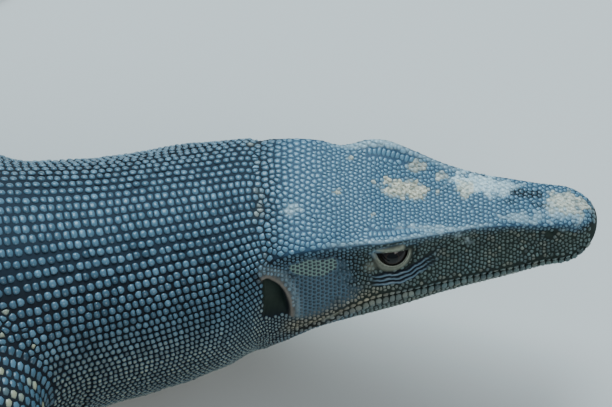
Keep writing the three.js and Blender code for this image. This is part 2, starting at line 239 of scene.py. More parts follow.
def place_bare(station, out, height, forward=0.0):
    """Millimetres from under the snout's tip; out is to the animal's left."""
    heading = np.radians(smooth(HEADING, station))
    x = np.interp(station, spine_at, spine_x) + forward * np.cos(heading) - out * np.sin(heading)
    y = np.interp(station, spine_at, spine_y) + forward * np.sin(heading) + out * np.cos(heading)
    return np.stack(np.broadcast_arrays(x, y, height), axis=-1)


eye_low, eye_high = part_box("eye_right")
eye_middle = np.array([(a + b) / 2 / MM for a, b in zip(eye_low, eye_high)])
eye_bare = place_bare(np.array(EYE["station"]), np.array(-EYE["out"]), np.array(EYE["height"]))
OFFSET = eye_middle - eye_bare
print("snout's tip at", OFFSET.round(2), "mm")


def place(station, out, height, forward=0.0):
    station, out, height, forward = (np.asarray(v, float) for v in (station, out, height, forward))
    return place_bare(station, out, height, forward) + OFFSET

# %% [markdown]
# ## Sections of head and body
# The head is an angular wedge: a flat crown, a sharp ridge from nostril to brow, sloping cheeks, two
# rolled lips and a narrow throat. Behind the jaw it melts into rounded sections for the neck, trunk
# and tail. A section runs from 0 at the crown to 1 at the throat or belly.

# %% Half sections
SECTION_STEPS = [-0.13, 0, 0.13, 0.26, 0.31, 0.43, 0.55, 0.58, 0.61, 0.77, 1, 1.23]
REST = 0.35


def head_section(station, t):
    at = {name: smooth(keys, station) for name, keys in HEAD.items()}
    ridge_width, ridge_height = at["ridgeWidth"], at["ridgeHeight"]
    lip_width, lip_height = at["lipWidth"], at["lipHeight"]
    flare, drop = lip_width - ridge_width, ridge_height - lip_height
    groove = MOUTH_GROOVE * (1 - ease(station, MOUTH_CORNER - 8, MOUTH_CORNER))
    zero = np.zeros_like(station)
    points = [
        (zero, at["crown"]),
        (0.58 * ridge_width, at["crown"] + 0.28 * (ridge_height - at["crown"])),
        (ridge_width, ridge_height),
        (ridge_width + 0.13 * flare, ridge_height - 0.2 * drop),
        (ridge_width + 0.62 * flare, ridge_height - 0.6 * drop),
        (lip_width, lip_height + LIP),
        (lip_width - groove, lip_height),
        (lip_width - 0.3 * groove, lip_height - LIP),
        (at["jawWidth"], at["jawHeight"]),
        (zero, at["chin"]),
    ]
    outs = np.stack([-points[1][0], *(p[0] for p in points), -points[8][0]], axis=1)
    heights = np.stack([points[1][1], *(p[1] for p in points), points[8][1]], axis=1)
    left = 1 - np.minimum(station, SNOUT_ROUNDING) / SNOUT_ROUNDING
    tip = np.sqrt(1 - left**2)
    out = smooth_rows(SECTION_STEPS, outs, t)
    height = smooth_rows(SECTION_STEPS, heights, t)
    return out * tip, SNOUT_HEIGHT + (height - SNOUT_HEIGHT) * tip


def body_section(station, t):
    at = {name: smooth(keys, station) for name, keys in BODY.items()}
    angle = np.pi * t
    power = 2 / at["roundness"]
    reach = np.where(angle < np.pi / 2, at["top"] - at["widest"], at["bottom"] - at["widest"])
    out = at["width"] * np.maximum(np.sin(angle), 0) ** power
    return out, at["widest"] + reach * np.abs(np.cos(angle)) ** power


def section(station, t):
    """The bare half section: out and height in millimetres for flat arrays."""
    station, t = np.asarray(station, float), np.clip(t, 0, 1)
    blend = ease(station, 98, 136)
    out, height = body_section(station, t)
    near = blend < 1
    head_out, head_height = head_section(station[near], t[near])
    out[near] += (head_out - out[near]) * (1 - blend[near])
    height[near] += (head_height - height[near]) * (1 - blend[near])
    return out, height

# %% [markdown]
# ## Folds, brows and muscles
# Loose skin lies in folds where it bends: behind the head, at the corner of the mouth, on the
# throat and in front of the arm. They are soft waves pushed out of or into the bare section, along
# its own normal. The skin as a whole sits a scale's depth inside the solids.

# %% Relief over the trunk
COAT_HEAD, COAT_BODY = 0.3, 0.6
NECK_START, NECK_STOP = 113.0, 240.0
NECK_ROWS = [(0, 0), (0.22, 8.8), (0.35, 15.2), (0.5, 24), (1, 54)]
NECK_LEAN = [(113, 0.006), (124, 0.002), (135, 0), (150, 0.008), (195, 0.034), (240, 0.05)]
# Each swell's height, its station and half length, and its place round the section and half width
SWELLS = {
    "brow": (0.7, 71, 10, 0.235, 0.035),
    "middle of the crown": (-0.5, 62, 12, 0, 0.09),
    "temple muscle": (1.1, 97, 9, 0.42, 0.07),
    "side of the snout": (-0.5, 42, 13, 0.36, 0.045),
    "lower jaw": (0.6, 84, 22, 0.62, 0.06),
}


def neck_row(station, t):
    """Which long row of beads a place on the neck lies in, counted down from the middle of the back."""
    lean = smooth(NECK_LEAN, station) * ease(t, 0.0, 0.32) * ease(t, 1.0, 0.45)
    return smooth(NECK_ROWS, np.clip(t - lean, 0, 1))


def waves(station, t, slant, length):
    """Soft waves that follow each other down the body and slant as they go round it."""
    return np.sin((station + slant * t) * 2 * np.pi / length)


def relief(station, t):
    """How far the skin stands out from the bare section, in millimetres."""
    lift = -(COAT_HEAD + (COAT_BODY - COAT_HEAD) * ease(station, 100, 190)) * ease(station, -1, 6)
    for height, at, long, level, wide in SWELLS.values():
        lift += height * bump(station, at, long) * bump(t, level, wide)
    lips = bump(t, 0.54, 0.012) + bump(t, 0.622, 0.013)
    lift += 0.35 * lips * span(station, 2, 8, 100, 118)
    crease = 112.5 + 3.5 * t + 1.2 * np.sin(17 * t)
    behind_head = 0.5 * bump(station, crease + 6, 5) - 0.55 * bump(station, crease, 1.8)
    lift += ease(t, 0.5, 0.36) * behind_head
    jaw = 0.585 + 0.0021 * (station - 90)
    lift -= 0.8 * bump(t, jaw, 0.02) * span(station, 89, 93, 108, 116)
    throat = ease(t, 0.62, 0.8) * span(station, 104, 122, 190, 215)
    lift += 0.7 * throat * waves(station, t, 14, 15)
    arm = span(t, 0.25, 0.4, 0.7, 0.85) * bump(station, 186, 7)
    lift += 0.9 * arm * waves(station, t, -30, 8)
    flank = span(station, 250, 290, 550, 590)
    lift += flank * (1.8 * bump(t, 0.6, 0.045) - 1.4 * bump(t, 0.52, 0.03))
    lift += 0.5 * flank * span(t, 0.15, 0.3, 0.7, 0.85) * waves(station, t, 50, 19)
    loose = span(station, 112, 128, 215, 250) * span(t, 0.04, 0.1, 0.3, 0.5)
    lift -= 0.42 * loose * (0.5 + 0.5 * np.cos(2 * np.pi * neck_row(station, t)))
    keel = span(station, 740, 860, 1500, 1740)
    return lift + 0.5 * keel * bump(t, 0.05, 0.03)

# %% [markdown]
# ## Lids, ear and nostril
# The eye sits under the brow's edge and looks out and a little up. Its opening is an almond, the
# space between two circles, tipped up in front. The lids hug the ball round it and thin folds run
# under it towards the snout. The ear is a cup with a fleshy front rim, and the nostril a small pit.

# %% Shape the openings
LID_CIRCLES = ((-10.4, 13.1), (2.6, 5.95))
FOLD_STEP = 1.5
LID_TILT = math.radians(7)
TILT = math.radians(EYE["tilt"])


def eye_frame(station, out, height):
    """Forward, up and outward from the middle of the eyeball."""
    forward = EYE["station"] - station
    o, h = out - EYE["out"], height - EYE["height"]
    up = math.cos(TILT) * h - math.sin(TILT) * o
    depth = math.cos(TILT) * o + math.sin(TILT) * h
    f = math.cos(LID_TILT) * forward + math.sin(LID_TILT) * up
    v = math.cos(LID_TILT) * up - math.sin(LID_TILT) * forward
    return f, v, depth


def from_eye_frame(f, v, depth):
    forward = math.cos(LID_TILT) * f - math.sin(LID_TILT) * v
    up = math.cos(LID_TILT) * v + math.sin(LID_TILT) * f
    o = math.cos(TILT) * depth - math.sin(TILT) * up
    h = math.cos(TILT) * up + math.sin(TILT) * depth
    return EYE["station"] - forward, EYE["out"] + o, EYE["height"] + h


def lid_distance(f, v):
    """How far outside the almond a point is, with the direction straight away from it."""
    far = np.full(np.shape(f), -1e9)
    away = np.zeros((*np.shape(f), 2))
    for middle, radius in LID_CIRCLES:
        reach = np.hypot(f, v - middle)
        nearer = reach - radius > far
        far = np.where(nearer, reach - radius, far)
        away[..., 0] = np.where(nearer, f / np.maximum(reach, 1e-6), away[..., 0])
        away[..., 1] = np.where(nearer, (v - middle) / np.maximum(reach, 1e-6), away[..., 1])
    return far, away


def eye_folds(f, v):
    """Where the thin folds under the eye lie, and their wave from -1 in a furrow to 1 on a ridge."""
    level = v - 0.021 * f**2
    level = level + 0.26 * np.sin(0.55 * f) + 0.16 * np.sin(1.3 * f + 0.7 * v)
    cover = span(level, -10.7, -10.0, -5.7, -5.2) * span(f, -10.5, -4.5, 11 + 0.5 * level, 19)
    return cover, np.cos(2 * np.pi * (level + 6.7) / FOLD_STEP)


def shape_eye(station, out, height):
    f, v, depth = eye_frame(station, out, height)
    near = (np.hypot(np.where(f > 0, 0.65 * f, f), v) < 15) & (depth > 0)
    d, away = lid_distance(f, v)
    edge = near & (np.abs(d) < 0.24)
    f = np.where(edge, f - d * away[..., 0], f)
    v = np.where(edge, v - d * away[..., 1], v)
    d = np.where(edge, 0.0, d)
    ball = np.sqrt(np.maximum((EYE["radius"] + 0.75) ** 2 - f**2 - v**2, 9.0))
    lid = ball + (depth - ball) * ease(d, 0.3, 2.6)
    lid += 0.55 * bump(d, 1.15, 0.7) - 0.6 * bump(d, 2.45, 0.45)
    cover, wave = eye_folds(f, v)
    lid += 0.3 * cover * wave
    lid += 0.5 * bump(f, 0, 5.5) * bump(d, 3.2, 0.8) * ease(v, 0.5, 2.5)
    inside = ease(-d, 0.02, 0.55)
    lid += (1.6 - lid) * inside
    depth = np.where(near, lid, depth)
    s2, o2, h2 = from_eye_frame(f, v, depth)
    return np.where(near, s2, station), np.where(near, o2, out), np.where(near, h2, height)

# %% [markdown]
# ## The cup of the ear and the nostril
# Both are pushed in from the side of the head. How near a place is to the middle of an opening is
# given as a ring, which is 1 at the opening's edge.

# %% Shape the ear and the nostril
def ear_ring(station, height):
    """The ring of the ear's opening that a place lies on, 1 at its edge, and the share of it in front.

    The opening is a quarter of a disk: round in front and above, straight behind and below."""
    forward, up = EAR["station"] - station, height - EAR["height"]
    front = np.hypot(forward, up) / EAR["reach"]
    straight = np.maximum(1 - forward / 4.5, 1 - (up + 1.5) / 4.5)
    return np.maximum(front, straight), ease(front - straight, -0.15, 0.1)


def shape_ear(station, out, height):
    ring, front = ear_ring(station, height)
    near = (out > 18) & (ring < 2)
    sink = EAR["depth"] * ease(ring, 1.02, 0.66)
    rim = 0.9 * bump(ring, 1.1, 0.075) * front + 0.25 * bump(ring, 1.12, 0.2)
    return np.where(near, out - sink + rim, out)


def nostril_ring(station, height):
    forward, up = NOSTRIL["station"] - station, height - NOSTRIL["height"]
    return np.sqrt(((forward - 0.5 * up) / 1.6) ** 2 + ((up + 0.15 * forward) / 1.05) ** 2)


def shape_nostril(station, out, height):
    ring = nostril_ring(station, height)
    near = (out > 6) & (ring < 4)
    sink = 2.2 * ease(ring, 1.1, 0.35) - 0.35 * bump(ring, 1.7, 0.45)
    return np.where(near, out - sink, out)

# %% [markdown]
# ## The dressed section
# The relief pushes the bare section along its own normal, and the openings are shaped on that.

# %% Dress a section
def skin_section(station, around):
    """The dressed section: stations, signed out and height for flat arrays."""
    t = np.abs(around)
    out, height = section(station, t)
    nearby = 0.004
    out_up, height_up = section(station, t - nearby)
    out_down, height_down = section(station, t + nearby)
    run, rise = out_down - out_up, height_down - height_up
    length = np.maximum(np.hypot(run, rise), 1e-6)
    lift = relief(station, t)
    out = np.maximum(out - rise / length * lift, 0)
    out = np.where(t * (1 - t) == 0, 0, out)
    height = height + run / length * lift
    head = station < HEAD_STOP
    s, o, h = station.copy(), out.copy(), height.copy()
    s[head], o[head], h[head] = shape_eye(station[head], out[head], height[head])
    o[head] = shape_ear(s[head], o[head], h[head])
    o[head] = shape_nostril(s[head], o[head], h[head])
    return s, np.sign(around) * o, np.maximum(h, REST)


def trunk_point(station, around):
    return place(*skin_section(station, around))

# %% [markdown]
# ## The trunk as one long grid
# Rings of points follow each other from snout to tail tip. They are closest where the eye can rest:
# at the lids, lips, nostril and ear. Behind the shoulders every second point is dropped, because the
# trunk and tail are smooth under their scales.

# %% Lay out the rings
def spread(*parts):
    """Places joined from (start, end, count) parts, each without its end."""
    return np.concatenate([np.linspace(a, b, n, endpoint=False) for a, b, n in parts])


tip_angles = np.linspace(0.07, np.pi / 2, 16, endpoint=False)
fine_stations = np.concatenate([
    SNOUT_ROUNDING * (1 - np.cos(tip_angles)),
    spread((13, 58, 54), (58, 81, 56), (81, 103, 27), (103, 119, 28), (119, 190, 54)),
])
coarse_stations = spread((192, 690, 124), (690, 1745, 150), (1745, 1750, 4))
head_t = np.append(spread((0, 0.25, 16), (0.25, 0.5, 40), (0.5, 0.63, 15), (0.63, 1, 17)), 1.0)
body_t = np.linspace(0, 1, len(head_t))


def ring_places(station, every=1):
    t = head_t + (body_t - head_t) * ease(station, 122, 182)
    t = t[::every]
    return np.concatenate([t, -t[-2:0:-1]])


def trunk_mesh():
    rings, counts = [], []
    for stations, every in ((fine_stations, 1), (coarse_stations, 2)):
        for s in stations:
            places = ring_places(s, every)
            rings.append((np.full(len(places), s), places))
            counts.append(len(places))
    station = np.concatenate([r[0] for r in rings])
    around = np.concatenate([r[1] for r in rings])
    points = trunk_point(station, around)
    starts = np.concatenate([[0], np.cumsum(counts)])
    faces = []
    for r in range(len(counts) - 1):
        n, a, b = counts[r], starts[r], starts[r + 1]
        i = np.arange(n)
        j = (i + 1) % n
        if counts[r + 1] == n:
            faces += np.stack([a + i, a + j, b + j, b + i], axis=1).tolist()
            continue
        k = np.arange(n // 2)
        k2 = (k + 1) % (n // 2)
        first, second, third = a + 2 * k, a + 2 * k + 1, a + (2 * k + 2) % n
        faces += np.stack([first, second, b + k], axis=1).tolist()
        faces += np.stack([second, b + k2, b + k], axis=1).tolist()
        faces += np.stack([second, third, b + k2], axis=1).tolist()
    front, back, last = len(points), len(points) + 1, starts[-2]
    nose = place([0.0], [0.0], [SNOUT_HEIGHT])
    points = np.vstack([points, nose, points[last:].mean(axis=0)])
    faces += [[front, (k + 1) % counts[0], k] for k in range(counts[0])]
    faces += [[back, last + k, last + (k + 1) % counts[-1]] for k in range(counts[-1])]
    return points, faces


def make_mesh(name, points, faces):
    """A mesh object from millimetres, with its faces turned outwards."""
    mesh = bpy.data.meshes.new(name)
    mesh.from_pydata((np.asarray(points) * MM).tolist(), [], faces)
    work = bmesh.new()
    work.from_mesh(mesh)
    bmesh.ops.recalc_face_normals(work, faces=work.faces)
    work.to_mesh(mesh)
    work.free()
    mesh.shade_smooth()
    made = bpy.data.objects.new(name, mesh)
    bpy.context.collection.objects.link(made)
    return made


trunk = make_mesh("skin", *trunk_mesh())
print("trunk", len(trunk.data.vertices), "points")

# %% [markdown]
# ## Limbs, feet and toes
# Each limb is a bent tube from inside the trunk to the end of the palm or sole. Five toes fan out
# from there, each with swollen joints, and lie down on the floor. They are separate closed meshes at
# first, so that one Boolean union can weld them to the trunk into a single skin.

# %% Loft the limbs
LIMB_INSET, TOE_INSET = 0.5, 0.3
LIMB_RINGS, LIMB_SIDES = 64, 36
TOE_RINGS, TOE_SIDES = 16, 14
TOE_ROOT = 6
TOE_HEIGHT = [(0, 6.4), (0.4, 7.2), (1, 3.4)]
TOE_GIRTH = [(0, 1), (0.22, 0.98), (0.36, 0.84), (0.55, 0.97), (0.72, 0.78), (0.9, 0.82), (1, 0.6)]


def limb_at(which, t):
    limb, side = which["limb"], which["side"]
    places = np.arange(len(limb["path"]))
    path = np.array(limb["path"], float)
    swing = t / (len(places) - 1)
    forward, outward, up = (smooth_rows(places, [path[:, k]], t) for k in range(3))
    centre = place(
        np.full(len(t), limb["station"]), side * (outward + which["lean"][1] * swing), up,
        forward + which["lean"][0] * swing,
    )
    return centre, smooth_rows(places, [limb["halfWidth"]], t), smooth_rows(places, [limb["halfHeight"]], t)


def oval_rings(centre, direction, half_width, half_height, sides):
    direction = direction / np.linalg.norm(direction, axis=1, keepdims=True)
    across = np.stack([-direction[:, 1], direction[:, 0], np.zeros(len(direction))], axis=1)
    across /= np.linalg.norm(across, axis=1, keepdims=True)
    up = np.cross(direction, across)
    angle = 2 * np.pi * np.arange(sides) / sides
    rings = (
        centre[:, None]
        + (half_width[:, None] * np.cos(angle))[..., None] * across[:, None]
        + (half_height[:, None] * np.sin(angle))[..., None] * up[:, None]
    )
    rings[..., 2] = np.maximum(rings[..., 2], REST)
    return rings


def grid_faces(rows, columns):
    """Quads of a grid whose rows are rings."""
    faces = []
    for r in range(rows - 1):
        for k in range(columns):
            j = (k + 1) % columns
            faces.append([r * columns + k, r * columns + j, (r + 1) * columns + j, (r + 1) * columns + k])
    return faces


def loft(name, rings):
    count, sides = rings.shape[:2]
    points = np.vstack([rings.reshape(-1, 3), rings[0].mean(axis=0), rings[-1].mean(axis=0)])
    faces = grid_faces(count, sides)
    faces += [[len(points) - 2, (k + 1) % sides, k] for k in range(sides)]
    last = (count - 1) * sides
    faces += [[len(points) - 1, last + k, last + (k + 1) % sides] for k in range(sides)]
    return make_mesh(name, points, faces)


def limb_rings(which, t, sides):
    centre, half_width, half_height = limb_at(which, t)
    direction = limb_at(which, t + 0.25)[0] - limb_at(which, t - 0.25)[0]
    muscle = 1 + 0.05 * bump(t, 0.9, 0.4) + 0.06 * bump(t, 2.7, 0.4) - 0.03 * bump(t, 2.05, 0.25)
    return oval_rings(
        centre, direction, half_width * muscle - LIMB_INSET, half_height * muscle - LIMB_INSET, sides,
    )


def toe_line(which, digit):
    """The toe's centre line as a function of t from knuckle to claw, and its forward direction."""
    limb, side = which["limb"], which["side"]
    palm = limb_at(which, np.array([len(limb["path"]) - 1.0]))[0][0]
    heading = math.radians(float(smooth(HEADING, limb["station"])) + side * which["toeOut"])
    across = side * (2 - digit) * -0.5 * limb["spread"]
    bearing = heading - side * math.radians(limb["turn"][digit])
    set_back = abs(digit - 2) ** 2 * -1.6
    base = np.array([
        palm[0] + set_back * math.cos(heading) - across * math.sin(heading),
        palm[1] + set_back * math.sin(heading) + across * math.cos(heading),
        0,
    ])
    forward = np.array([math.cos(bearing), math.sin(bearing), 0])

    def at(t):
        points = base + np.outer((limb["length"][digit] + TOE_ROOT) * t - TOE_ROOT, forward)
        points[:, 2] = smooth(TOE_HEIGHT, t)
        return points

    return at, forward


def toe_rings(which, digit, t, sides):
    at, _ = toe_line(which, digit)
    girth = which["limb"]["radius"] * smooth(TOE_GIRTH, t) - TOE_INSET
    return oval_rings(at(t), at(t + 0.03) - at(t - 0.03), girth, girth * 0.92, sides)


legs, toes = [], []
for which in LIMBS:
    last = len(which["limb"]["path"]) - 1
    rings = limb_rings(which, np.linspace(0, last, LIMB_RINGS), LIMB_SIDES)
    legs.append(loft("leg_" + which["name"], rings))
    for digit in range(5):
        rings = toe_rings(which, digit, np.linspace(0, 1, TOE_RINGS), TOE_SIDES)
        toes.append(loft(f"toe_{which['name']}_{digit}", rings))

# %% [markdown]
# ## One skin
# A union leaves a hard crease where a leg meets the trunk, which no living thing has. So every point
# near two of the first surfaces is relaxed towards its neighbours a few dozen times, more at the
# shoulders and hips than between the toes. That makes the soft hollow of an armpit or a web.

# %% Weld and soften the joins
def tree_of(objects):
    points, faces = [], []
    for part in objects:
        start = len(points)
        points += [v.co.copy() for v in part.data.vertices]
        faces += [[start + i for i in p.vertices] for p in part.data.polygons]
    return BVHTree.FromPolygons(points, faces)


def weld(base, others):
    group = bpy.data.collections.new("to_weld")
    for part in others:
        group.objects.link(part)
    join = base.modifiers.new("weld", "BOOLEAN")
    join.operation, join.operand_type, join.solver = "UNION", "COLLECTION", "MANIFOLD"
    join.collection = group
    evaluated = base.evaluated_get(bpy.context.evaluated_depsgraph_get())
    welded = bpy.data.meshes.new_from_object(evaluated)
    base.modifiers.clear()
    old, base.data = base.data, welded
    bpy.data.meshes.remove(old)
    for part in others:
        data = part.data
        bpy.data.objects.remove(part)
        bpy.data.meshes.remove(data)
    bpy.data.collections.remove(group)


def points_of(mesh):
    flat = np.empty(len(mesh.vertices) * 3, np.float32)
    mesh.vertices.foreach_get("co", flat)
    return flat.reshape(-1, 3).astype(float) / MM


def relax(points, edges, weight, rounds):
    """Moves points towards the middle of their neighbours by their own weight."""
    a, b = edges[:, 0], edges[:, 1]
    count = np.maximum(np.bincount(np.concatenate([a, b]), minlength=len(points)), 1)
    for _ in range(rounds):
        total = np.stack([
            np.bincount(a, points[b, k], len(points)) + np.bincount(b, points[a, k], len(points))
            for k in range(3)
        ], axis=1)
        points = points + (total / count[:, None] - points) * weight[:, None]
    return points


first_trees = [tree_of([trunk]), tree_of(legs), tree_of(toes)]
weld(trunk, legs + toes)
work = bmesh.new()
work.from_mesh(trunk.data)
bmesh.ops.remove_doubles(work, verts=work.verts, dist=0.15 * MM)
bmesh.ops.triangulate(work, faces=work.faces)
work.to_mesh(trunk.data)
work.free()

skin_points = points_of(trunk.data)
JOINS_START, FAR = 150, 60.0
# Which two surfaces meet, how far off the softening starts and is full, its share, and its rounds
JOINS = ((0, 1, 12.0, 2.0, 0.9, 45), (1, 2, 2.6, 0.4, 0.8, 10))
gaps = np.full((len(skin_points), 3), FAR)
beyond = np.flatnonzero(skin_points[:, 0] < OFFSET[0] - JOINS_START)
for i in beyond:
    for k, tree in enumerate(first_trees):
        found = tree.find_nearest(Vector(skin_points[i] * MM), FAR * MM)
        if found[3] is not None:
            gaps[i, k] = found[3] / MM
edges = np.empty(len(trunk.data.edges) * 2, np.int64)
trunk.data.edges.foreach_get("vertices", edges)
edges = edges.reshape(-1, 2)
for one, other, start, full, share, rounds in JOINS:
    join_gap = np.maximum(gaps[:, one], gaps[:, other])
    skin_points = relax(skin_points, edges, share * ease(join_gap, start, full), rounds)
skin_points[:, 2] = np.maximum(skin_points[:, 2], REST)
trunk.data.vertices.foreach_set("co", (skin_points * MM).ravel())
trunk.data.shade_smooth()
trunk.data.update()
skin = trunk
print("skin", len(skin.data.polygons), "triangles")

# %% [markdown]
# ## Where each scale grows
# A water monitor has no overlapping plates. Its scales are separate beads, each in a ring of dark
# skin, set in rows that cross the body like bricks. They are flat many-sided plates on the crown,
# fine grains on the cheeks, square along the lips, round beads on the neck and larger ovals on the
# back. Rows of places are laid out first, in the same stations and sections as the skin.

# %% Rows of places
chance = np.random.default_rng(SEED)
roots = []


def row_stations(start, end, pitch):
    """Stations from start to end, a pitch apart, which is a number or a curve."""
    found = [start]
    while found[-1] < end:
        found.append(found[-1] + float(smooth(pitch, found[-1]) if isinstance(pitch, list) else pitch))
    return np.array(found[:-1])


def add_rows(kind, stations, start, end, pitch, jitter, whole=False, step=0.5):
    """Places across the trunk from one place round it to another.

    Each row is set on from the last by a step of the pitch: a half lays bricks, and less makes
    long rows that climb towards the snout."""
    fine = np.linspace(start, end, 241)
    grid_s, grid_a = np.meshgrid(stations, fine, indexing="ij")
    out, height = section(grid_s.ravel(), np.abs(grid_a.ravel()))
    out = np.sign(grid_a) * out.reshape(grid_s.shape)
    run = np.hypot(np.diff(out), np.diff(height.reshape(grid_s.shape)))
    run = np.hstack([np.zeros((len(stations), 1)), np.cumsum(run, axis=1)])
    pitches = smooth(pitch, stations) if isinstance(pitch, list) else np.full(len(stations), float(pitch))
    for r, s in enumerate(stations):
        total = run[r, -1]
        count = max(2 * round(total / pitches[r] / 2), 2)
        k = np.arange(count) + (r * step) % 1 + (0 if whole else 0.25)
        want = total * k / count + chance.normal(0, jitter * pitches[r], count)
        around = np.interp(np.clip(want, 0, total), run[r], fine)
        stay = s + chance.normal(0, jitter * pitches[r], count)
        roots.append((kind, stay, around, np.full(count, pitches[r])))

# %% [markdown]
# ## Ropes of beads on the neck
# The neck's beads stand in long rows that run along the animal. They are largest beside the spine
# and grow a little towards the shoulders.

# %% Rows on the neck
NECK_BEADS = [(0, 3.0), (0.2, 3.1), (0.35, 2.3), (0.5, 1.95), (1, 2.0)]
NECK_GROWTH = [(113, 0.8), (126, 0.9), (150, 1.0), (190, 1.1), (240, 1.12)]
MID_NECK, NECK_HALF_GIRTH = 170.0, 120


def row_middle(row, station):
    """How far round the neck the middle of a long row lies at one station."""
    fine = np.linspace(0, 1, 801)
    return float(np.interp(row + 0.5, neck_row(np.full_like(fine, station), fine), fine))


def add_neck(jitter):
    """Long rows of beads on the neck, each next one set back by half a step."""
    for k in range(int(NECK_ROWS[-1][1])):
        size = float(smooth(NECK_BEADS, row_middle(k, MID_NECK)))
        steps = [(s, 0.87 * size * grow) for s, grow in NECK_GROWTH]
        stations = row_stations(NECK_START, NECK_STOP, steps)
        stations = stations + 0.5 * (k % 2) * (stations[1] - stations[0])
        t = np.array([row_middle(k, s) for s in stations])
        pitches = size * smooth(NECK_GROWTH, stations)
        for side in (-1, 1):
            stay = stations + chance.normal(0, jitter, len(t)) * pitches
            around = t + chance.normal(0, 0.55 * jitter, len(t)) * pitches / NECK_HALF_GIRTH
            roots.append(("bead", stay, side * np.clip(around, 0.002, 0.998), pitches))


def add_row(kind, stay, around, pitch):
    """One row along the animal, all at the same place round it."""
    roots.append((kind, stay, np.full(len(stay), around), np.full(len(stay), pitch)))


def scaled(keys, share):
    return [(s, share * value) for s, value in keys]

# %% [markdown]
# ## All rows of the trunk
# The rows are laid from the crown over the lips, brows and cheeks to the neck, trunk and tail.

# %% Lay the rows
CROWN_PITCH = [(0, 1.45), (30, 1.65), (55, 1.55), (84, 1.6), (96, 2.0), (113, 2.45)]
BACK_PITCH = [
    (240, 3.4), (500, 3.4), (690, 3.2), (900, 3.0), (1200, 2.6), (1500, 2.0), (1750, 1.4),
]
LIP_PITCH, BROW_PITCH, BROW_LEVEL = 2.2, 1.55, 0.185
LIP_ROWS = ((0.545, "lip"), (0.62, "lip"), (0.66, "plate"))
# First and last station and the step along, the places round, the pitch, the jitter and the set-on
GRAINS = (
    ((3, 84, 1.25), (0.268, 0.522), 1.3, 0.19, 0.5),
    ((84, 114, 1.4), (0.268, 0.53), 1.35, 0.07, 0.36),
    ((86, 118, 1.5), (0.53, 0.68), 1.6, 0.08, 0.5),
    ((3, 116, 1.4), (0.685, 0.995), 1.5, 0.08, 0.5),
)
add_rows("plate", row_stations(1.5, 113.5, scaled(CROWN_PITCH, 0.92)), -0.25, 0.25, CROWN_PITCH, 0.16)
for side in (-1, 1):
    lips = row_stations(3.2, 89, LIP_PITCH)
    for level, kind in LIP_ROWS:
        add_row(kind, lips + chance.normal(0, 0.16, len(lips)), side * level, LIP_PITCH)
    add_row("brow", row_stations(61, 77, BROW_PITCH), side * BROW_LEVEL, BROW_PITCH)
    for along, (upper, lower), grain, jitter, step in GRAINS:
        add_rows("grain", row_stations(*along), side * upper, side * lower, grain, jitter, step=step)
add_neck(0.075)
body_stations = row_stations(NECK_STOP, 1745, scaled(BACK_PITCH, 0.95))
add_rows("body", body_stations, -1, 1, BACK_PITCH, 0.06, whole=True)

SKIN_START, SKIN_STOP = 0.4, 1749
kinds = np.concatenate([[kind] * len(stay) for kind, stay, _, _ in roots])
root_station, root_around, root_pitch = (np.concatenate([r[k] for r in roots]) for k in (1, 2, 3))
root_level = np.clip(root_around, -1, 1)
root_points = trunk_point(np.clip(root_station, SKIN_START, SKIN_STOP), root_level)
root_ahead = trunk_point(np.clip(root_station - 1, SKIN_START / 2, SKIN_STOP), root_level) - root_points
print("places on the trunk", len(kinds))

# %% [markdown]
# ## Scales on the limbs
# The same bricks run round arms, legs and feet, and a little finer towards the toes. Rings of the
# limb's own tube carry them.

# %% Rows round the limbs
LIMB_PITCH, TOE_PITCH = (3.1, 2.1), (1.9, 1.7)
limb_points, limb_ahead, limb_pitch = [], [], []


def along_ring(ring, want, walked):
    """Points of a closed ring at the wanted distances along it."""
    closed = np.vstack([ring, ring[:1]])
    return np.stack([np.interp(want, walked, closed[:, k]) for k in range(3)], axis=1)


def add_rings(rings_at, length, pitch_start, pitch_end):
    """Staggered places on a tube whose rings come from a function of t."""
    run, row = 0.0, 0
    while run < 1:
        pitch = pitch_start + (pitch_end - pitch_start) * run
        ring = rings_at(np.array([run]))[0]
        after = rings_at(np.array([min(run + 0.02, 1.0)]))[0]
        edge = np.linalg.norm(np.roll(ring, -1, axis=0) - ring, axis=1)
        walked = np.concatenate([[0], np.cumsum(edge)])
        count = max(2 * round(walked[-1] / pitch / 2), 4)
        want = walked[-1] * (np.arange(count) + 0.5 * (row % 2)) / count
        here = along_ring(ring, want, walked)
        limb_points.append(here)
        limb_ahead.append(along_ring(after, want, walked) - here)
        limb_pitch.append(np.full(count, pitch))
        run += 0.95 * pitch / length
        row += 1


for which in LIMBS:
    last = len(which["limb"]["path"]) - 1
    line = limb_at(which, np.linspace(0, last, 40))[0]
    length = np.linalg.norm(np.diff(line, axis=0), axis=1).sum()
    add_rings(lambda t: limb_rings(which, t * last, LIMB_SIDES), length, *LIMB_PITCH)
    for digit in range(5):
        length = which["limb"]["length"][digit] + TOE_ROOT
        add_rings(lambda t: toe_rings(which, digit, t, TOE_SIDES), length, *TOE_PITCH)
limb_points, limb_ahead = np.vstack(limb_points), np.vstack(limb_ahead)
limb_pitch = np.concatenate(limb_pitch)
print("places on the limbs", len(limb_pitch))

# %% [markdown]
# ## Setting the roots on the skin
# The joins were softened, so every place is moved to the nearest point of the real skin and takes
# its direction from there. A place that has fallen inside a leg, the mouth, the eye, the ear or the
# nostril is left out, and so is one that crowds its neighbour.

# %% Project and thin out
CROWDING = 0.45
points = np.vstack([root_points, limb_points])
ahead = np.vstack([root_ahead, limb_ahead])
pitch = np.concatenate([root_pitch, limb_pitch])
kinds = np.concatenate([kinds, ["limb"] * len(limb_pitch)])
station = np.concatenate([root_station, np.full(len(limb_pitch), -1.0)])
around = np.concatenate([root_around, np.zeros(len(limb_pitch))])

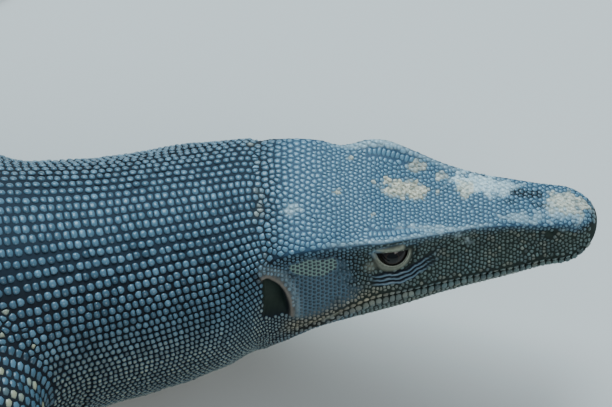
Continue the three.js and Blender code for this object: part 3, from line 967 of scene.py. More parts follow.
skin_faces = np.empty(len(skin.data.polygons) * 3, np.int32)
skin.data.polygons.foreach_get("vertices", skin_faces)
skin_faces = skin_faces.reshape(-1, 3)
skin_normals = np.empty(len(skin_points) * 3, np.float32)
skin.data.vertices.foreach_get("normal", skin_normals)
skin_normals = skin_normals.reshape(-1, 3).astype(float)
skin_tree = BVHTree.FromPolygons((skin_points * MM).tolist(), skin_faces.tolist())

normals = np.zeros_like(points)
strayed = np.zeros(len(points))
for i, point in enumerate(points * MM):
    spot, _, face, gap = skin_tree.find_nearest(point)
    corners = skin_points[skin_faces[face]]
    share = 1 / (np.linalg.norm(corners - np.array(spot) / MM, axis=1) + 0.05)
    normals[i] = share @ skin_normals[skin_faces[face]]
    strayed[i] = gap / MM
    points[i] = np.array(spot) / MM
normals /= np.linalg.norm(normals, axis=1, keepdims=True)

s0, out0, height0 = skin_section(np.clip(station, SKIN_START, SKIN_STOP), around)
aside0 = np.abs(out0)
on_head = (station > 0) & (station < EAR_STOP)
f0, v0, _ = eye_frame(s0, aside0, height0)
lid_gap, _ = lid_distance(f0, v0)
lid_width = np.where(v0 < 1, 1.8, 1.9) * ease(np.abs(f0), 9.5, 4.0) + 0.3
ear_at, ear_front = ear_ring(s0, height0)
mouth_gap = np.abs(height0 - smooth(HEAD["lipHeight"], s0))
bare = np.logical_or.reduce([
    (np.hypot(f0, v0) < 12) & (lid_gap < lid_width),
    (ear_at < 1.0 + 0.16 * ear_front) & (aside0 > 18),
    (mouth_gap < 0.6) & (s0 > 75) & (s0 < 94),
    (eye_folds(f0, v0)[0] > 0.4) & (aside0 > 12),
    (nostril_ring(s0, height0) < 1.5) & (aside0 > 5),
])
by_brow = (station > 60) & (station < 77.5) & (np.abs(np.abs(around) - BROW_LEVEL) < 0.03)
keep = strayed < np.where(on_head, 0.6, 2.0)
keep &= ~(on_head & bare) & ~(by_brow & (kinds == "plate"))
crowd = KDTree(int(keep.sum()))
kept = np.flatnonzero(keep)
for i in kept:
    crowd.insert(points[i], int(i))
crowd.balance()
for i in kept:
    if keep[i]:
        for _, j, _ in crowd.find_range(points[i], CROWDING * pitch[i]):
            if j > i and keep[j]:
                keep[j] = False
chosen = np.flatnonzero(keep)
points, normals, ahead, pitch, kinds, station, around = (
    field[chosen] for field in (points, normals, ahead, pitch, kinds, station, around)
)
print("scales", len(points))

# %% [markdown]
# ## The outline of each scale
# On a living lizard every scale fills the room its neighbours leave it. So each one looks around in a
# few directions and stops half way to the nearest neighbour that way, as soap cells do, less the
# strip of bare skin between them. A largest reach keeps scales oval where they stand alone. The
# shape of the dome is a list of rings: beads are round, plates are flat with a rolled edge.

# %% Cells and domes
# Sides, reach along and across, groove, height, and dome rings as shares of reach and of height
KINDS = {
    "plate": (9, 0.8, 0.88, 0.08, 0.34, [(0, 1.0), (0.45, 0.95), (0.78, 0.72), (1.0, -0.2)]),
    "brow": (12, 0.55, 1.9, 0.1, 0.36, [(0, 1.0), (0.45, 0.95), (0.8, 0.7), (1.0, -0.2)]),
    "grain": (7, 0.72, 0.74, 0.14, 0.27, [(0, 1.0), (0.66, 0.8), (1.0, -0.2)]),
    "lip": (10, 0.62, 0.72, 0.12, 0.32, [(0, 1.0), (0.62, 0.93), (0.9, 0.6), (1.0, -0.25)]),
    "bead": (10, 0.55, 0.5, 0.09, 0.66, [(0, 1.0), (0.45, 0.9), (0.81, 0.5), (1.0, -0.15)]),
    "body": (6, 0.72, 0.68, 0.16, 0.55, [(0, 1.0), (0.62, 0.8), (1.0, -0.15)]),
    "limb": (7, 0.74, 0.72, 0.12, 0.45, [(0, 1.0), (0.62, 0.8), (1.0, -0.15)]),
}
NEIGHBOURS = 11

nearest = KDTree(len(points))
for i, point in enumerate(points):
    nearest.insert(point, i)
nearest.balance()
near_ids = np.array([[found[1] for found in nearest.find_n(p, NEIGHBOURS + 1)][1:] for p in points])

lengthwise = ahead - (ahead * normals).sum(axis=1, keepdims=True) * normals
lengthwise /= np.maximum(np.linalg.norm(lengthwise, axis=1, keepdims=True), 1e-9)
crosswise = np.cross(normals, lengthwise)

# Beads fill their cells on the nape and throat, and stand in ropes on the sides of the neck
nape, throat = ease(np.abs(around), 0.1, 0.02), ease(np.abs(around), 0.5, 0.75)
packed = np.where(kinds == "bead", np.maximum(nape, throat), 0)


def cell_reach(chosen, sides, along, across, groove):
    """How far each scale reaches in each direction, in millimetres."""
    offsets = points[near_ids[chosen]] - points[chosen][:, None]
    x = (offsets * lengthwise[chosen][:, None]).sum(axis=2)
    y = (offsets * crosswise[chosen][:, None]).sum(axis=2)
    angle = 2 * np.pi * (np.arange(sides) + 0.5) / sides
    toward = x[..., None] * np.cos(angle) + y[..., None] * np.sin(angle)
    square = (x**2 + y**2)[..., None] / 2
    room = np.where(toward > 1e-6, square / np.maximum(toward, 1e-6), 1e9).min(axis=1)
    size = pitch[chosen][:, None]
    wide = across * (1 + 0.3 * packed[chosen])[:, None]
    oval = size / np.sqrt((np.cos(angle) / along) ** 2 + (np.sin(angle) / wide) ** 2)
    return np.maximum(np.minimum(room, oval) - groove * size / 2, 0.12 * size), angle

# %% [markdown]
# ## The lizard's markings
# Skin and scales share one set of markings, worked out from where a point is on the animal. The
# sides of the head are olive, the hind lips tan, the throat and belly pale with dark bars. The
# back has faint rows of yellowish spots, faded as in an old adult, and the tail faint bands. Dried
# mud lies in a few thin cakes on the crown and snout, and paler dust round about it. Dark wet streaks
# on the snout stay clear of the dust.

# %% Masks from places on the body
HASH, HASH_SCALE = (127.1, 311.7, 74.7), 43758.5453
CHUNK = 20000


def value_noise(where, cell, seed=0.0):
    """Smooth noise from 0 to 1 with lumps about one cell across."""
    q = np.asarray(where) / cell + seed
    base = np.floor(q)
    f = q - base
    f = f * f * (3 - 2 * f)
    total = np.zeros(len(q))
    for corner in np.ndindex(2, 2, 2):
        spot = base + corner
        value = np.sin(spot @ HASH) * HASH_SCALE
        weight = np.prod(np.where(np.array(corner) == 1, f, 1 - f), axis=1)
        total += weight * (value - np.floor(value))
    return total


def ragged(where):
    """Noise in two sizes, which frays the edges of patches."""
    return value_noise(where, 2.2) * 0.6 + value_noise(where, 0.9, 5.0) * 0.4


def locate(where):
    """Station, signed out and height of points given in millimetres."""
    line = np.stack([spine_x + OFFSET[0], spine_y + OFFSET[1]], axis=1)
    best = np.empty(len(where), int)
    for start in range(0, len(where), CHUNK):
        part = where[start : start + CHUNK, :2].astype(np.float32)
        gap = ((part[:, None] - line[None].astype(np.float32)) ** 2).sum(axis=2)
        best[start : start + CHUNK] = gap.argmin(axis=1)
    near_s = spine_at[best].astype(float)
    heading = np.radians(smooth(HEADING, near_s))
    away = where[:, :2] - line[best]
    forward = away[:, 0] * np.cos(heading) + away[:, 1] * np.sin(heading)
    out = -away[:, 0] * np.sin(heading) + away[:, 1] * np.cos(heading)
    return near_s - forward, out, where[:, 2]

# %% [markdown]
# ## Marks of the head
# Mud, dust and wet streaks lie at named places. The other marks follow the head's own lines: the
# lips, the edge of the brow, the lids, the rim of the ear and the nostril.

# %% Head marks
# Cakes of mud, films of pale dust and dark wet streaks, each as its station, how far out it lies,
# half its length, half its width and how thickly it covers
MUD = (
    (63.8, 3.2, 8.6, 4.2, 1.0), (61.5, 12.2, 3.4, 2.2, 0.6), (10.5, 1.0, 7.6, 4.6, 0.75),
    (87.3, 0.0, 1.4, 1.0, 0.8), (83.2, 14.6, 1.2, 1.0, 0.7), (52.0, 9.5, 2.2, 1.5, 0.5),
    (76.0, -9.0, 1.0, 0.8, 0.6), (44.5, 4.2, 3.6, 3.0, 0.7),
)
DUST = (
    (40.5, 7.0, 9.0, 4.4, 1.0), (33.0, 5.5, 6.5, 3.8, 0.8), (102.5, -7.2, 3.0, 2.2, 0.45),
    (12.0, -1.0, 8.0, 6.0, 0.45), (74.0, 20.0, 12.0, 1.6, 0.5), (26.0, -6.5, 7.0, 2.4, 0.4),
    (56.0, -13.0, 10.0, 1.8, 0.4),
)
DARK = ((23.5, 3.6, 6.0, 2.0, 1.0), (19.0, -0.6, 3.4, 1.2, 0.8), (29.0, 0.4, 2.6, 1.0, 0.6))


def patches(cakes, s, out, rough):
    cover = np.zeros(len(s))
    for at_s, at_out, long, wide, most in cakes:
        ring = np.sqrt(((s - at_s) / long) ** 2 + ((out - at_out) / wide) ** 2)
        cover = np.maximum(cover, most * ease(ring + 1.6 * (rough - 0.5), 1.15, 0.7))
    return cover


def head_marks(where, s, out, height, rough):
    """Marks of the head alone: mud, dust, cheeks, lips, lids, temple, ear and nostril."""
    aside = np.abs(out)
    head = ease(s, 118, 104)
    on_top = ease(height, 64.0, 66.5) * head
    lip = smooth(HEAD["lipHeight"], s)
    ridge = smooth(HEAD["ridgeWidth"], s)
    side = np.maximum(ease(aside - ridge, -0.3, 0.8), ease(height, 66, 62))
    cheek = head * side
    f, v, _ = eye_frame(s, aside, height)
    gap, _ = lid_distance(f, v)
    beside = (aside > 12) & (s < 100)
    taper = ease(np.abs(f), 9.0, 3.5)
    # Painted shade: the pale lower lid fades out between about one and two and a half millimetres from its
    # edge, darker where its bulge throws shade.
    lower = ease(gap, 2.4 * taper + 0.2, 0.8 * taper) * ease(v, 2.2, 0.6) * ease(gap, -0.3, 0.1)
    lower = np.maximum(lower, 0.8 * bump(f, -7.6, 1.9) * bump(v, -2.0, 1.4))
    upper = bump(v, 3.3, 0.75) * ease(np.abs(f + 0.4), 5.4, 4.2)
    under = eye_folds(f, v)[0] * beside
    flecks = ease(value_noise(where, 1.9, 11.0), 0.62, 0.8)
    tan = bump(height, lip + 1.4, 4.0) * span(s, 60, 80, 100, 112)
    tan = tan * (0.65 + 0.35 * value_noise(where, 3.0, 8.0))
    tan = np.maximum(tan, 0.3 * cheek * flecks * ease(s, 84, 70))
    line = bump(height, lip - 0.1, 0.5) * span(s, 72, 78, 92, 95) * (aside > 12)
    patch = np.hypot((s - 94.5) / 10.5, (height - 68.4 - 0.08 * (s - 94)) / 2.7)
    patch = ease(patch + 1.1 * (value_noise(where, 4.0, 9.0) - 0.5), 1.15, 0.65)
    # The broad temple, where the dark grains get pale blue rims that are painted highlights.
    temple = np.hypot((s - 96) / 15, (height - 59.5) / 9.5)
    temple = ease(temple + 0.9 * (value_noise(where, 2.0, 9.0) - 0.5), 1.3, 0.6)
    brow_edge = bump(aside, ridge - 1.0, 0.8) * span(s, 30, 45, 84, 96)
    dark = patches(DARK, s, out, rough) * on_top
    dust = np.maximum(patches(DUST, s, out, rough) * (1 - dark), 0.35 * brow_edge) * on_top
    ear_at, ear_front = ear_ring(s, height)
    by_ear = (s < EAR_STOP) & (aside > 18)
    rim = bump(ear_at, 1.09, 0.07) * ear_front * by_ear
    beads = bump(ear_at, 1.28, 0.12) * ear_front * by_ear
    beyond_ear = 1 - by_ear * ease(ear_at, 1.35, 1.15)
    pit = (s < 30) & (aside > 5)
    return {
        "mud": patches(MUD, s, out, rough) * on_top,
        "dust": np.maximum(dust, 0.2 * beads),
        "fold": under,
        # Painted reflection: the crown mark makes the top of the head paler and bluer, as the wet scales
        # mirror the sky.
        "crown": on_top * (1 - side) * ease(s, 116, 100) * (1 - dark),
        "dark": dark,
        "olive": cheek * ease(s, 90, 74) * (0.6 + 0.4 * value_noise(where, 7.0, 1.0)) * (1 - under),
        "tan": np.maximum(head * tan * (1 - under), 0.9 * line * head),
        "lids": np.where(beside, np.maximum.reduce([0.5 * lower, 0.9 * upper, 0.6 * line]), 0),
        "temple": head * np.maximum(patch, 0.5 * temple * (1 - tan) * beyond_ear),
        "flesh": rim,
        "cup": np.maximum(by_ear * ease(ear_at, 1.0, 0.8), pit * ease(nostril_ring(s, height), 1.3, 0.8)),
    }

# %% [markdown]
# ## Marks of the whole animal
# The height between belly and back gives the pale belly and its bars. Spots and bands follow the
# stations, and a slow noise bends them a little, so that none is quite regular.

# %% Body marks
SPOT_ROW, SPOT_COLUMN = 46, 15.0


def markings(where, on_limb):
    """All marks at points given in millimetres; a limb has freckles in place of spots and bands."""
    s, out, height = locate(where)
    top = np.where(s < JAW_STOP, smooth(HEAD["crown"], s), smooth(BODY["top"], s))
    low = np.where(s < JAW_STOP, smooth(HEAD["chin"], s), 0)
    up = np.clip((height - low) / np.maximum(top - low, 1), 0, 1)
    rough = ragged(where)
    clouds = value_noise(where, 26.0, 3.0)
    found = head_marks(where, s, out, height, rough)
    found = {name: np.where(s < HEAD_STOP, values, 0.0) for name, values in found.items()}
    bars = 0.5 + 0.5 * np.sin(s * 2 * np.pi / 34 + 2.2 * clouds)
    pale = ease(up, 0.3, 0.1) * (0.35 + 0.65 * ease(bars, 0.25, 0.7))
    spot_row, spot_column = s / SPOT_ROW + 0.25 * (clouds - 0.5), np.abs(out) / SPOT_COLUMN
    spot = np.hypot(
        (spot_row - np.round(spot_row)) * SPOT_ROW / 6.0,
        (spot_column - np.round(spot_column)) * SPOT_COLUMN / 4.2,
    )
    spots = ease(spot + 0.8 * (rough - 0.5), 1.15, 0.7) * span(s, 215, 260, 690, 760)
    spots = spots * ease(up, 0.25, 0.45)
    band = 0.5 + 0.5 * np.sin((s - 700) * 2 * np.pi / 72 + 1.5 * clouds)
    bands = ease(band, 0.72, 0.95) * ease(s, 720, 800)
    freckles = ease(value_noise(where, 3.4, 2.0), 0.66, 0.8)
    beige = ease(up, 0.84, 0.58) * span(s, 96, 122, 230, 330) * (0.35 + 0.65 * rough)
    nape = ease(up, 0.88, 0.99) * span(s, 100, 120, 200, 260)
    crease = ease(value_noise(where, 3.0, 4.0), 0.55, 0.75)
    crease = crease * bump(s, 114.5, 1.6) * ease(up, 0.6, 0.75)
    found["tan"] = np.maximum(found["tan"], 0.6 * crease)
    found["pale"] = np.where(on_limb, 0.0, pale) * ease(s, 4, 30)
    found["yellow"] = np.where(on_limb, 0.5 * freckles, np.maximum(0.5 * spots, 0.45 * bands))
    found["beige"] = np.where(on_limb, 0.7 * freckles, beige)
    # Painted shade: the lower sides, from the eye back, are darkened; the dark wet streaks of the snout
    # share this mark.
    found["shade"] = np.maximum(ease(up, 0.78, 0.45) * ease(s, 70, 116), found.pop("dark"))
    # Painted reflection: the top of the neck takes a faint share of the crown's paler, bluer sky sheen.
    found["crown"] = np.maximum(found["crown"], 0.2 * nape)
    return found

# %% [markdown]
# ## Marks on the skin and on the scales
# Every point of the skin and every scale keeps its marks as attributes, which the hide reads. The
# ridges of the folds under the eye are marked as crests too.

# %% Give the skin its marks
MARKS = (
    "mud", "dust", "fold", "crown", "olive", "tan", "pale", "lids", "temple", "flesh", "yellow", "beige",
    "cup", "shade",
)


def give(mesh, name, values):
    mesh.attributes.new(name, "FLOAT", "POINT").data.foreach_set("value", np.asarray(values, np.float32))


skin_marks = markings(skin_points, np.minimum(gaps[:, 1], gaps[:, 2]) < gaps[:, 0])
for name in MARKS:
    give(skin.data, name, skin_marks[name])
skin_s, skin_out, skin_height = locate(skin_points)
f, v, _ = eye_frame(skin_s, np.abs(skin_out), skin_height)
cover, wave = eye_folds(f, v)
ridges = np.where((skin_s < 100) & (np.abs(skin_out) > 12), cover * (0.5 + 0.5 * wave) ** 3, 0)
give(skin.data, "crest", ridges)
give(skin.data, "tone", np.full(len(skin_points), 0.5))
scale_marks = markings(points, kinds == "limb")
print("mud on", int((scale_marks["mud"] > 0.5).sum()), "scales")

# %% [markdown]
# ## Coats of scales
# Thousands of small domes are written straight into a few large meshes, region by region. Each
# dome knows how high on it a point is, so that rims can be dark and tips bright, and keeps one
# tone of its own. Its map is a small patch at its root's place on the unrolled body.

# %% Build the coats
PATCH = 0.003
USUAL_PITCH = {"bead": 3.2, "body": 3.3, "limb": 2.6}
SINK = 0.06
MAP_MARGIN = 0.01
tone = np.clip(0.5 + 0.2 * chance.normal(size=len(points)), 0, 1)
tall = 1 + 0.14 * chance.normal(size=len(points)).clip(-2, 2)


def dome_faces(sides, rings):
    """Triangles of one dome: a fan at the top and strips below it."""
    k = np.arange(sides)
    j = (k + 1) % sides
    faces = [np.stack([np.zeros(sides, int), 1 + k, 1 + j], axis=1)]
    for r in range(rings - 1):
        a, b = 1 + r * sides, 1 + (r + 1) * sides
        faces += [np.stack([a + k, b + k, b + j], axis=1), np.stack([a + k, b + j, a + j], axis=1)]
    return np.vstack(faces)


def coat(name, members, unroll):
    """One mesh of all the given scales; unroll gives each root's place on its own map."""
    all_points, all_faces, owners, crests, patch = [], [], [], [], []
    start = 0
    for kind in KINDS:
        ids = members[kinds[members] == kind]
        if len(ids) == 0:
            continue
        sides, along, across, groove, height, rings = KINDS[kind]
        reach, angle = cell_reach(ids, sides, along, across, groove)
        flat = 1 - 0.55 * ease(points[ids, 2], 3.0, 0.8)
        rise = height * tall[ids] * flat * (pitch[ids] / USUAL_PITCH.get(kind, 1.6)) ** 0.6
        shapes, levels, spots = [], [], []
        for share, level in rings:
            n = 1 if share == 0 else sides
            radius = share * (reach[:, :n] if share else np.zeros((len(ids), 1)))
            turn = angle[:n]
            slide = -0.1 * pitch[ids][:, None] * max(level, 0)
            x, y = radius * np.cos(turn) + slide, radius * np.sin(turn)
            z = np.full_like(x, level) * rise[:, None] - SINK
            shapes.append(
                points[ids][:, None] + x[..., None] * lengthwise[ids][:, None]
                + y[..., None] * crosswise[ids][:, None] + z[..., None] * normals[ids][:, None]
            )
            levels.append(np.full((len(ids), n), max(level, 0.0)))
            spot = share * np.stack([np.cos(turn), np.sin(turn)], axis=-1)
            spots.append(np.broadcast_to(spot, (len(ids), n, 2)))
        shape = np.concatenate(shapes, axis=1)
        per = shape.shape[1]
        one = dome_faces(sides, len(rings) - 1)
        faces = one[None] + (start + per * np.arange(len(ids)))[:, None, None]
        all_points.append(shape.reshape(-1, 3))
        all_faces.append(faces.reshape(-1, 3))
        owners.append(np.repeat(ids, per))
        crests.append(np.concatenate(levels, axis=1).ravel())
        centre = unroll[np.searchsorted(members, ids)]
        patch.append((centre[:, None] + 0.5 * PATCH * np.concatenate(spots, axis=1)).reshape(-1, 2))
        start += per * len(ids)
    verts = np.vstack(all_points)
    verts[:, 2] = np.maximum(verts[:, 2], 0.02)
    faces, owner = np.vstack(all_faces), np.concatenate(owners)
    mesh = bpy.data.meshes.new(name)
    mesh.vertices.add(len(verts))
    mesh.loops.add(faces.size)
    mesh.polygons.add(len(faces))
    mesh.vertices.foreach_set("co", (verts * MM).astype(np.float32).ravel())
    mesh.loops.foreach_set("vertex_index", faces.astype(np.int32).ravel())
    mesh.polygons.foreach_set("loop_start", np.arange(0, faces.size, 3, dtype=np.int32))
    mesh.update(calc_edges=True)
    mesh.shade_smooth()
    flat_map = np.vstack(patch).astype(np.float32)
    mesh.uv_layers.new(name="OFBake").data.foreach_set("uv", flat_map[faces.ravel()].ravel())
    for mark in MARKS:
        give(mesh, mark, scale_marks[mark][owner])
    give(mesh, "crest", np.concatenate(crests))
    give(mesh, "tone", tone[owner])
    made = bpy.data.objects.new(name, mesh)
    bpy.context.collection.objects.link(made)
    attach(made, "root")
    print(name, len(members), "scales", len(faces), "triangles")
    return made


def unrolled(first, second):
    """Places spread over a square map, clear of its edge."""
    flat = []
    for values in (first, second):
        low, high = values.min(), values.max()
        flat.append(MAP_MARGIN + (1 - 2 * MAP_MARGIN) * (values - low) / max(high - low, 1e-9))
    return np.stack(flat, axis=1)

# %% [markdown]
# ## Region by region
# The trunk's scales are cut into ten pieces by station and the limbs' into two, so that no piece
# grows too large.

# %% Cut the coats
REGIONS = {
    "scales_snout": (0, 62), "scales_crown": (62, 114), "scales_nape": (114, 172),
    "scales_neck": (172, 240), "scales_chest": (240, 372), "scales_trunk": (372, 520),
    "scales_loin": (520, 690), "scales_tail_base": (690, 1000),
    "scales_tail_middle": (1000, 1330), "scales_tail_tip": (1330, 1760),
}
ARMS_STOP = 400
on_trunk = np.flatnonzero(station >= 0)
coats = []
for name, (start, end) in REGIONS.items():
    members = on_trunk[(station[on_trunk] >= start) & (station[on_trunk] < end)]
    coats.append(coat(name, members, unrolled(station[members], around[members])))
on_limbs = np.flatnonzero(station < 0)
front = points[on_limbs, 0] > OFFSET[0] - ARMS_STOP
for name, members in (("scales_arms", on_limbs[front]), ("scales_legs", on_limbs[~front])):
    x, y, z = points[members].T
    coats.append(coat(name, members, unrolled(y, x + 3 * z)))

# %% [markdown]
# ## Eyeballs and lid edges
# Each eyeball is one wet sphere with a slightly domed cornea. How far a point is from the middle of
# its gaze says whether it is pupil, iris or white. The lids end in a pale wet edge, a thin rope
# round the almond opening.

# %% Eyes
BALL_SIDES = 56
ROPE_POINTS, ROPE_SIDES = 96, 10
ROPE_OUT, ROPE_DEEP = 0.42, 0.36


def eye_point(side, f, v, depth):
    s, out, height = from_eye_frame(f.ravel(), v.ravel(), depth.ravel())
    return place(s, side * out, height)


def almond(count):
    """Points on the edge of the opening, in order."""
    (low_v, low_r), (high_v, high_r) = LID_CIRCLES
    level = (low_r**2 - high_r**2 - low_v**2 + high_v**2) / (2 * (high_v - low_v))
    corner = math.sqrt(low_r**2 - (level - low_v) ** 2)
    edge = []
    for middle, radius, sign in ((low_v, low_r, 1), (high_v, high_r, -1)):
        spread_angle = math.atan2(corner, sign * (level - middle))
        turn = np.linspace(-spread_angle, spread_angle, count // 2, endpoint=False)
        edge.append(np.stack([sign * radius * np.sin(turn), middle + sign * radius * np.cos(turn)], axis=1))
    return np.vstack(edge)


for side, name in ((-1, "right"), (1, "left")):
    polar = np.concatenate([np.linspace(0, 0.9, 34), np.linspace(0.98, np.pi, 20)])
    turn = 2 * np.pi * np.arange(BALL_SIDES) / BALL_SIDES
    radius = EYE["radius"] * (1 + 0.045 * bump(polar, 0, 0.62)) - 0.12
    f = (radius * np.sin(polar))[:, None] * np.cos(turn)
    v = (radius * np.sin(polar))[:, None] * np.sin(turn)
    depth = (radius * np.cos(polar))[:, None] * np.ones_like(turn)
    ball = grid_faces(len(polar), BALL_SIDES)
    eye = make_mesh("eyeball_" + name, eye_point(side, f, v, depth), ball)
    give(eye.data, "gaze", np.repeat(polar, BALL_SIDES))
    eye.data.shade_smooth()
    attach(eye, "root")
    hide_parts("eye_" + name)

    edge = almond(ROPE_POINTS)
    ahead_edge = np.roll(edge, -1, axis=0) - np.roll(edge, 1, axis=0)
    outward = np.stack([ahead_edge[:, 1], -ahead_edge[:, 0]], axis=1)
    outward *= np.sign((outward * edge).sum(axis=1, keepdims=True))
    outward /= np.linalg.norm(outward, axis=1, keepdims=True)
    rest = np.sqrt((EYE["radius"] + ROPE_OUT) ** 2 - (edge**2).sum(axis=1))
    rope_turn = 2 * np.pi * np.arange(ROPE_SIDES) / ROPE_SIDES
    side_step = ROPE_OUT * np.cos(rope_turn) + 0.16
    f = edge[:, :1] + outward[:, :1] * side_step
    v = edge[:, 1:] + outward[:, 1:] * side_step
    depth = rest[:, None] + ROPE_DEEP * np.sin(rope_turn)
    faces = grid_faces(ROPE_POINTS, ROPE_SIDES)
    last = (ROPE_POINTS - 1) * ROPE_SIDES
    for k in range(ROPE_SIDES):
        j = (k + 1) % ROPE_SIDES
        faces.append([last + k, last + j, j, k])
    rope = make_mesh("lid_edge_" + name, eye_point(side, f, v, depth), faces)
    levels = {**dict.fromkeys(MARKS, 0.0), "lids": 1.0, "crest": 0.8, "tone": 0.5}
    for mark, level in levels.items():
        give(rope.data, mark, np.full(ROPE_POINTS * ROPE_SIDES, level))
    rope.data.shade_smooth()
    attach(rope, "root")
    coats.append(rope)
print("each eyeball has", len(eye.data.polygons), "faces and each lid edge", len(rope.data.polygons))

# %% [markdown]
# ## Claws
# A monitor's claw is a curved horn blade, deeper than it is wide, with a rounded back and a sharp
# tip just above the ground. Its root is set a little into the toe, so that skin closes round it.

# %% Claws
CLAW_RINGS, CLAW_SIDES, CLAW_FIT = 22, 16, 0.93
claws = []
for which in LIMBS:
    for digit in range(5):
        at, forward = toe_line(which, digit)
        end = at(np.array([1.0]))[0]
        t = np.linspace(-0.14, 1, CLAW_RINGS)
        arch = 0.9 * np.sin(np.pi * np.clip(t, 0, 1)) + 0.6 * t - CLAW["drop"] * t**2
        centre = end + np.outer(CLAW["length"] * t, forward)
        centre[:, 2] = end[2] + arch
        taper = 1 - 0.9 * np.clip(t, 0, 1) ** 1.3
        direction = np.gradient(centre, axis=0)
        half_width = CLAW_FIT * CLAW["halfWidth"] * taper
        half_height = CLAW_FIT * CLAW["halfHeight"] * taper
        rings = oval_rings(centre, direction, half_width, half_height, CLAW_SIDES)
        claw = loft(f"claw_piece_{which['name']}_{digit + 1}", rings)
        give(claw.data, "run", np.concatenate([np.repeat(t, CLAW_SIDES), [0, 1]]))
        claw.data.shade_smooth()
        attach(claw, "root")
        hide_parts(f"claw_{which['name']}_{digit + 1}")
        claws.append(claw)
print("claws", len(claws))
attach(skin, "root")
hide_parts(*[node for node in NODES if not node.startswith(("eye", "claw"))])

# %% [markdown]
# ## Finishes
# Wet monitor hide is nearly black between the scales and slate blue on them, with a film of water
# that mirrors the sky. So the hide is a dark rough coat under a thin clear one. Everything that
# changes from place to place is arithmetic on the marks the meshes carry and on noise.

# %% Shader arithmetic
class Wire:
    """An output of a shader node. Arithmetic on it adds nodes to its tree."""

    def __init__(self, tree, socket=None):
        self.tree, self.socket = tree, socket

    def node(self, kind, settings=None, inputs=None, output=0):
        made = self.tree.nodes.new("ShaderNode" + kind)
        for key, value in (settings or {}).items():
            setattr(made, key, value)
        for key, value in (inputs or {}).items():
            if isinstance(value, Wire):
                self.tree.links.new(value.socket, made.inputs[key])
            else:
                made.inputs[key].default_value = value
        return Wire(self.tree, made.outputs[output] if made.outputs else None)

    def maths(self, operation, *values):
        return self.node("Math", {"operation": operation}, dict(enumerate(values)))

    def mark(self, name):
        return self.node("Attribute", {"attribute_name": name, "attribute_type": "GEOMETRY"}, output=2)

    def mix(self, share, first, second):
        return self.node("Mix", {"data_type": "RGBA"}, {0: share, 6: first, 7: second}, output=2)

    def noise(self, scale, detail=3.0):
        where = self.node("TexCoord", output=3)
        return self.node("TexNoise", None, {"Vector": where, "Scale": scale, "Detail": detail})

    def ease(self, low, high):
        """0 below low, 1 above high and a soft step between."""
        return self.node(
            "MapRange", {"interpolation_type": "SMOOTHSTEP"},
            {"Value": self, "From Min": low, "From Max": high},
        )

    def __add__(self, other):
        return self.maths("ADD", self, other)

    def __sub__(self, other):
        return self.maths("SUBTRACT", self, other)

    def __rsub__(self, other):
        return self.maths("SUBTRACT", other, self)

    def __mul__(self, other):
        return self.maths("MULTIPLY", self, other)

    __radd__, __rmul__ = __add__, __mul__


def shade(red, green, blue):
    """A linear colour from the usual 0 to 255 numbers."""
    linear = [((c / 255 + 0.055) / 1.055) ** 2.4 if c > 10 else c / 3294.6 for c in (red, green, blue)]
    return (*linear, 1.0)


def material(name, uniform):
    """A new material with one Principled shader; returns its node and an empty wire in its tree."""
    made = bpy.data.materials.new(name)
    made.use_nodes = True
    surface = made.node_tree.nodes["Principled BSDF"]
    for socket, value in uniform.items():
        surface.inputs[socket].default_value = value
    return made, surface, Wire(made.node_tree)


def feed(surface, **wires):
    for name, wire in wires.items():
        wire.tree.links.new(wire.socket, surface.inputs[name.replace("_", " ")])

# %% [markdown]
# ## The hide
# Each scale runs from a nearly black rim to its own slate tone at the crest. Marks then paint over
# it. Dried mud is pale, matt and hides the gaps too. The top of the head and neck is painted paler
# and bluer, a painted reflection of the sky in the wet film, and the lower sides are darkened with
# painted shade. On the temple the pattern turns round: the middle of a grain is dark and its rim
# pale. In a small patch behind the eye that is the animal's own pale skin; elsewhere on the temple
# the pale blue rims are painted highlights.

# %% Hide material
hide, surface, draw = material("hide", {
    "IOR": 1.45, "Specular IOR Level": 0.36, "Coat Roughness": 0.17, "Coat IOR": 1.33,
})
marks = {name: draw.mark(name) for name in (*MARKS, "crest", "tone")}
crest, scale_tone = marks["crest"], marks["tone"]
cloud = draw.noise(55)
grit = draw.noise(900, 4.0)
fine = draw.noise(2600, 2.0)


def paint(under, mark, strength, colour):
    return draw.mix(marks[mark] * strength, under, colour)


slate = draw.mix(scale_tone, shade(34, 60, 74), shade(90, 126, 144))
slate = draw.mix(cloud.ease(0.35, 0.7) * 0.4, slate, shade(48, 82, 96))
# Painted shade: scales of the lower sides, and of the wet streaks on the snout, are darkened.
slate = paint(slate, "shade", 0.4, shade(30, 52, 60))
# Painted reflection: scales on the crown and nape are paler and bluer, as the wet top mirrors the sky.
slate = paint(slate, "crown", 0.6, shade(94, 136, 156))
slate = paint(slate, "fold", 0.7, shade(94, 120, 134))
olive = draw.mix(scale_tone, shade(40, 54, 42), shade(94, 110, 94))
tan = draw.mix(scale_tone, shade(116, 108, 84), shade(168, 158, 130))
pale = draw.mix(scale_tone, shade(140, 150, 140), shade(184, 190, 176))
bright_tip = marks["beige"] * crest.ease(0.5, 0.95) * (0.3 + 0.7 * scale_tone)
scale = paint(slate, "olive", 0.9, olive)
scale = draw.mix(bright_tip, scale, shade(168, 172, 146))
scale = paint(scale, "tan", 0.85, tan)
scale = paint(scale, "pale", 0.85, pale)
scale = paint(scale, "yellow", 1.0, shade(170, 166, 120))
gap = paint(shade(5, 16, 25), "tan", 0.6, shade(62, 64, 50))
gap = paint(gap, "pale", 0.5, shade(100, 106, 98))
# Painted reflection: gaps on the crown are mid blue in place of near black.
gap = paint(gap, "crown", 0.75, shade(40, 76, 100))
gap = paint(gap, "olive", 0.85, shade(34, 46, 38))
base = draw.mix(crest.ease(0.04, 0.62), gap, scale)
